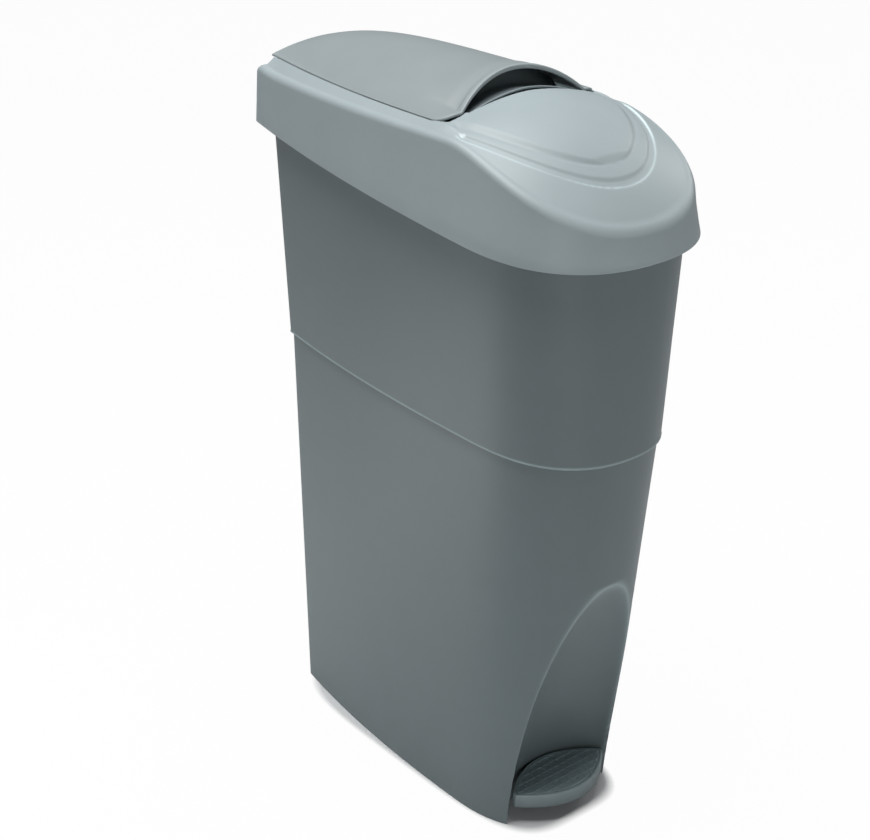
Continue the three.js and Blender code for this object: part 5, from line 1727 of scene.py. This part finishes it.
@dataclass(frozen=True)
class BinPedal:
    """The pedal: a lens-shaped plate with a raised rim and a gridded tread.

    The profiles are rows of a step inwards, a step up or down and, where there is a third number, the
    mask of worn edges.
    """

    form: BinForm
    half_width: float = 51.0
    chord_y: float = -126.5
    back_bulge: float = 25.0
    front_bulge: float = 26.4
    tip: float = 1.5
    bottom: float = 16.5
    top: float = 28.5
    skin: float = 3.0
    rim: float = 3.0
    lens_count: int = 41
    foot_profile: tuple[tuple[float, float], ...] = ((0.6, 0.0), (0.17, 0.17), (0.0, 0.6))
    rim_round: float = 1.2
    rim_count: int = 7
    rim_wear: float = 0.5
    rim_wear_gain: float = 0.25
    inner_profile: tuple[tuple[float, float, float], ...] = (
        (0.5, 0.0, 0.6), (0.15, 0.15, 0.6), (0.0, 0.5, 0.0),
    )
    tread_inset: float = 3.4
    tread_floor: float = 27.1
    tread_gap: float = 0.3
    tread_counts: tuple[int, int] = (261, 121)
    pad: float = 1.0
    rib: float = 0.6
    rib_width: float = 2.0
    rib_flank: float = 0.7
    rib_pitch: float = 7.0
    notch_half: float = 15.3
    notch_overrun: float = 1.0

    def arcs(self, x: Array, inset: float) -> tuple[Array, Array]:
        """Returns y of the lens's two arcs.

        Args:
            x: Places across.
            inset: How far inside the outer edge the arcs lie.
        Returns:
            y of the arc behind and of the arc in front.
        """
        bow = 1 - (x / (self.half_width - inset)) ** 2
        back = self.chord_y + self.tip + (self.back_bulge - self.tip - inset) * bow
        front = self.chord_y - self.tip - (self.front_bulge - self.tip - inset) * bow
        return back, front

    def lens(self, inset: float, z: float) -> Array:
        """Returns a ring of the pedal's lens outline.

        Args:
            inset: How far inside the outer edge the ring lies.
            z: Its height.
        Returns:
            The ring's points.
        """
        turn = np.linspace(0, math.pi / 2, self.lens_count)
        x = (self.half_width - inset) * np.sin(turn)
        back, front = self.arcs(x, inset)
        ring_x = np.concatenate([x, x[::-1]])
        return mirrored(ring_x, np.concatenate([back, front[::-1]]), z)

    def plate(self) -> Solid:
        """Builds the plate with its rim, tread recess and hollow underside.

        Returns:
            The solid.
        """
        profile = [(self.rim, self.top - self.skin, 0.0), (self.rim, self.bottom, 0.0)]
        profile += [(inset, self.bottom + up, 0.0) for inset, up in self.foot_profile]
        profile += [
            (self.rim_round * (1 - math.cos(turn)), self.top - self.rim_round * (1 - math.sin(turn)),
             self.rim_wear + turn * self.rim_wear_gain)
            for turn in np.linspace(0, math.pi / 2, self.rim_count)
        ]
        profile += [(self.tread_inset - out, self.top - drop, wear_and_highlight)
                    for out, drop, wear_and_highlight in self.inner_profile]
        profile.append((self.tread_inset, self.tread_floor, 0.0))
        rings = [self.lens(inset, z) for inset, z, _ in profile]
        edges = [np.full(len(ring), wear_and_highlight) for ring, (_, _, wear_and_highlight) in zip(rings, profile)]
        return Solid.loft(rings, edges)

    def tread(self) -> Solid:
        """Builds the tread pad with its grid of low ribs.

        Returns:
            The solid.
        """
        inset = self.tread_inset + self.tread_gap
        bottom = self.tread_floor + self.tread_gap

        def plan(u: Array, v: Array) -> tuple[Array, Array]:
            """Places the grid on the pad.

            Args:
                u: Shares across.
                v: Shares along.
            Returns:
                x and y.
            """
            x = (self.half_width - inset) * np.sin((2 * u - 1) * math.pi / 2)
            back, front = self.arcs(x, inset)
            return x, mix(front, back, v)

        def ridge(place: Array) -> Array:
            """Returns 1 on a rib and 0 beside it, for ribs across one direction."""
            aside = np.abs((place / self.rib_pitch + 0.5) % 1 - 0.5) * self.rib_pitch
            return 1 - smooth((aside - self.rib_width / 2 + self.rib_flank / 2) / self.rib_flank)

        def top(x: Array, y: Array) -> Array:
            """Returns the height of the pad and its ribs."""
            ribs = np.maximum(ridge(y - self.chord_y), ridge(x))
            return bottom + self.pad + self.rib * ribs

        across, along = (np.linspace(0, 1, count) for count in self.tread_counts)
        return Solid.skin(plan, top, lambda x, y: bottom + 0 * x, across, along)

    def build(self, finishes: Materials) -> None:
        """Builds and dresses the pedal's plate and tread.

        Args:
            finishes: The materials by slot.
        """
        plate = self.plate().made("bin_pedal")
        over = self.notch_overrun
        notch = Solid.block((-self.notch_half, self.chord_y + self.rim, self.bottom - over),
                            (self.notch_half, self.chord_y + self.back_bulge + over, self.top - self.skin))
        carve(plate, notch, Cut.REMOVE)
        dress(plate, "pedal", "body_plastic", finishes["body_plastic"], "pedal_plate")
        tread = self.tread().made("bin_tread")
        dress(tread, "pedal", "tread_plastic", finishes["tread_plastic"], "tread_pad")


@dataclass(frozen=True)
class CarriedPieces:
    """The CAD pieces that keep their shape and get their finish here."""

    replaced: tuple[str, ...] = (
        "body_shell", "lid_frame", "flap_panel", "finger_pocket", "pedal_plate", "tread_pad",
    )

    def build(self, finishes: Materials) -> None:
        """Gives every carried piece the material of its slot.

        Args:
            finishes: The materials by slot.
        """
        slots = {part["node"]: part["material_slot"] for part in frame["record"]["subparts"]}
        for name, piece in frame["nodes"].items():
            if name in self.replaced:
                continue
            finish = finishes[slots[name]]
            if not piece.material_slots:
                piece.data.materials.append(finish)
            for holder in piece.material_slots:
                holder.material = finish
            log.info("%s: keeps its CAD shape, finish %s", name, slots[name])


@dataclass(frozen=True)
class Lamp:
    """A soft square lamp that faces a target, in metres and watts."""

    name: str
    place: Point
    target: Point
    size: float
    power: float

    def build(self) -> None:
        """Adds the lamp, unseen by the camera."""
        data = bpy.data.lights.new(self.name, "AREA")
        data.shape = "SQUARE"
        data.size = self.size
        data.energy = self.power
        lamp = bpy.data.objects.new(self.name, data)
        lamp.visible_camera = False
        turn = (Vector(self.target) - Vector(self.place)).to_track_quat("-Z", "Y")
        lamp.matrix_world = Matrix.Translation(Vector(self.place)) @ turn.to_matrix().to_4x4()
        bpy.context.scene.collection.objects.link(lamp)


@dataclass(frozen=True)
class Studio:
    """Floor, light, world and the camera at the photo's viewing angle.

    Sizes of the floor and of the bin's footprint on it are in metres.
    """

    focal_px: float = 1700.0
    image_width: float = 870.0
    sensor: float = 36.0
    clip_end: float = 50.0
    azimuth: float = -40.90989945
    elevation: float = 24.88879124
    roll: float = 1.45859327
    distance: float = 1431.14367
    shift_across: float = 27.88602414
    shift_up: float = -53.90877122
    target_z: float = 250.0
    lamps: tuple[Lamp, ...] = (
        Lamp("top_softbox", (-0.3, 0.2, 2.4), (0, 0, 0.3), 1.6, 56.0),
        Lamp("front_fill", (0.9, -2.3, 0.9), (0, 0, 0.3), 1.2, 5.0),
        Lamp("right_fill", (1.9, 0.0, 1.3), (0, -0.1, 0.5), 0.6, 5.0),
        Lamp("low_fill", (-1.0, -1.6, 0.35), (0, 0, 0.15), 0.8, 4.0),
        Lamp("side_fill", (-0.45, 0.3, 0.06), (-0.07, 0.05, 0.08), 0.3, 0.52),
    )
    sky: float = 0.08
    sky_tone: Colour = (0.97, 0.99, 1.0)
    white_tone: Colour = (1.0, 1.0, 1.0)
    floor_half: float = 6.0
    floor_tone: Colour = (0.80, 0.81, 0.82)
    floor_clouds: Grain = Grain(3.0)
    floor_darkest: float = 0.98
    floor_lightest: float = 1.02
    floor_roughness: float = 0.9
    floor_white: float = 0.97
    foot_half_width: float = 0.072
    foot_half_length: float = 0.159
    foot_middle: float = 0.002
    foot_fade_start: float = 0.8
    foot_fade_slope: float = 4.0

    def camera(self) -> None:
        """Creates the camera."""
        yaw, tilt, turn = (math.radians(a) for a in (-self.azimuth, self.elevation, self.roll))
        forward = np.array([math.sin(yaw) * math.cos(tilt), math.cos(yaw) * math.cos(tilt),
                            -math.sin(tilt)])
        level = np.array([math.cos(yaw), -math.sin(yaw), 0.0])
        above = np.cross(level, forward)
        right = math.cos(turn) * level + math.sin(turn) * above
        up = -math.sin(turn) * level + math.cos(turn) * above
        place = np.array([0, BODY_MIDDLE_Y, self.target_z]) - forward * self.distance
        place = (place - right * self.shift_across - up * self.shift_up) * METRES_PER_MM
        data = bpy.data.cameras.new("photo_camera")
        data.sensor_fit = "HORIZONTAL"
        data.sensor_width = self.sensor
        data.lens = self.focal_px * self.sensor / self.image_width
        data.clip_end = self.clip_end
        camera = bpy.data.objects.new("photo_camera", data)
        camera.matrix_world = Matrix.Translation(Vector(place)) @ Matrix(
            (right, up, -forward)).transposed().to_4x4()
        bpy.context.scene.collection.objects.link(camera)
        bpy.context.scene.camera = camera

    def floor_paint(self) -> bpy.types.Material:
        """Builds the floor's paint, which the camera sees as white except under the bin.

        Returns:
            The material.
        """
        graph = Graph(bpy.data.materials.new("floor_paint"))
        where = graph.add("ShaderNodeTexCoord").outputs["Object"]
        cloud = graph.noise(where, self.floor_clouds)
        colour = graph.blend(cloud, shaded(self.floor_tone, self.floor_darkest),
                             shaded(self.floor_tone, self.floor_lightest))
        paint = graph.add("ShaderNodeBsdfPrincipled", {}, {
            "Base Color": colour, "Roughness": self.floor_roughness,
        })
        white = graph.add("ShaderNodeEmission", {}, {
            "Color": shaded(self.white_tone), "Strength": 1.0,
        })
        rays = graph.add("ShaderNodeLightPath").outputs
        seen = (Value(graph, rays["Is Camera Ray"]) + Value(graph, rays["Is Transmission Ray"])).held()
        place = graph.add("ShaderNodeSeparateXYZ", {}, {"Vector": where}).outputs
        across = Value(graph, place["X"]) * (1 / self.foot_half_width)
        along = (Value(graph, place["Y"]) - self.foot_middle) * (1 / self.foot_half_length)
        square = across * across * across * across + along * along * along * along
        beyond = ((square - self.foot_fade_start) * self.foot_fade_slope).held()
        both = graph.add("ShaderNodeMixShader", {}, {
            0: seen * beyond * self.floor_white, 1: paint.outputs[0], 2: white.outputs[0],
        })
        return graph.finish(both.outputs[0])

    def floor(self) -> None:
        """Adds the pale floor, which takes the bin's faint shadow."""
        material = self.floor_paint()
        half = self.floor_half
        mesh = bpy.data.meshes.new("floor")
        corners = [(-half, -half, 0), (half, -half, 0), (half, half, 0), (-half, half, 0)]
        mesh.from_pydata(corners, [], [(0, 1, 2, 3)])
        mesh.materials.append(material)
        floor = bpy.data.objects.new("floor", mesh)
        bpy.context.scene.collection.objects.link(floor)

    def world(self) -> None:
        """Sets an even sky that the camera sees as white."""
        world = bpy.data.worlds.new("studio")
        bpy.context.scene.world = world
        graph = Graph(world)
        rays = graph.add("ShaderNodeLightPath").outputs
        sky = graph.add("ShaderNodeBackground", {}, {
            "Color": shaded(self.sky_tone), "Strength": self.sky,
        })
        white = graph.add("ShaderNodeBackground", {}, {
            "Color": shaded(self.white_tone), "Strength": 1.0,
        })
        both = graph.add("ShaderNodeMixShader", {}, {
            0: rays["Is Camera Ray"], 1: sky.outputs[0], 2: white.outputs[0],
        })
        graph.add("ShaderNodeOutputWorld", {}, {"Surface": both.outputs[0]})

    def build(self) -> None:
        """Builds the whole studio."""
        bpy.context.scene.view_settings.view_transform = "Standard"
        self.camera()
        for lamp in self.lamps:
            lamp.build()
        self.floor()
        self.world()


def main() -> None:
    """Builds the bin in order."""
    logging.basicConfig(level=logging.INFO, format="%(message)s")
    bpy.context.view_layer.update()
    form = BinForm()
    finishes = Finishes().materials()
    Studio().build()
    for part in (BinBody(form), BinLid(form), BinFlap(form), BinPedal(form), CarriedPieces()):
        part.build(finishes)


if __name__ == "__main__":
    main()
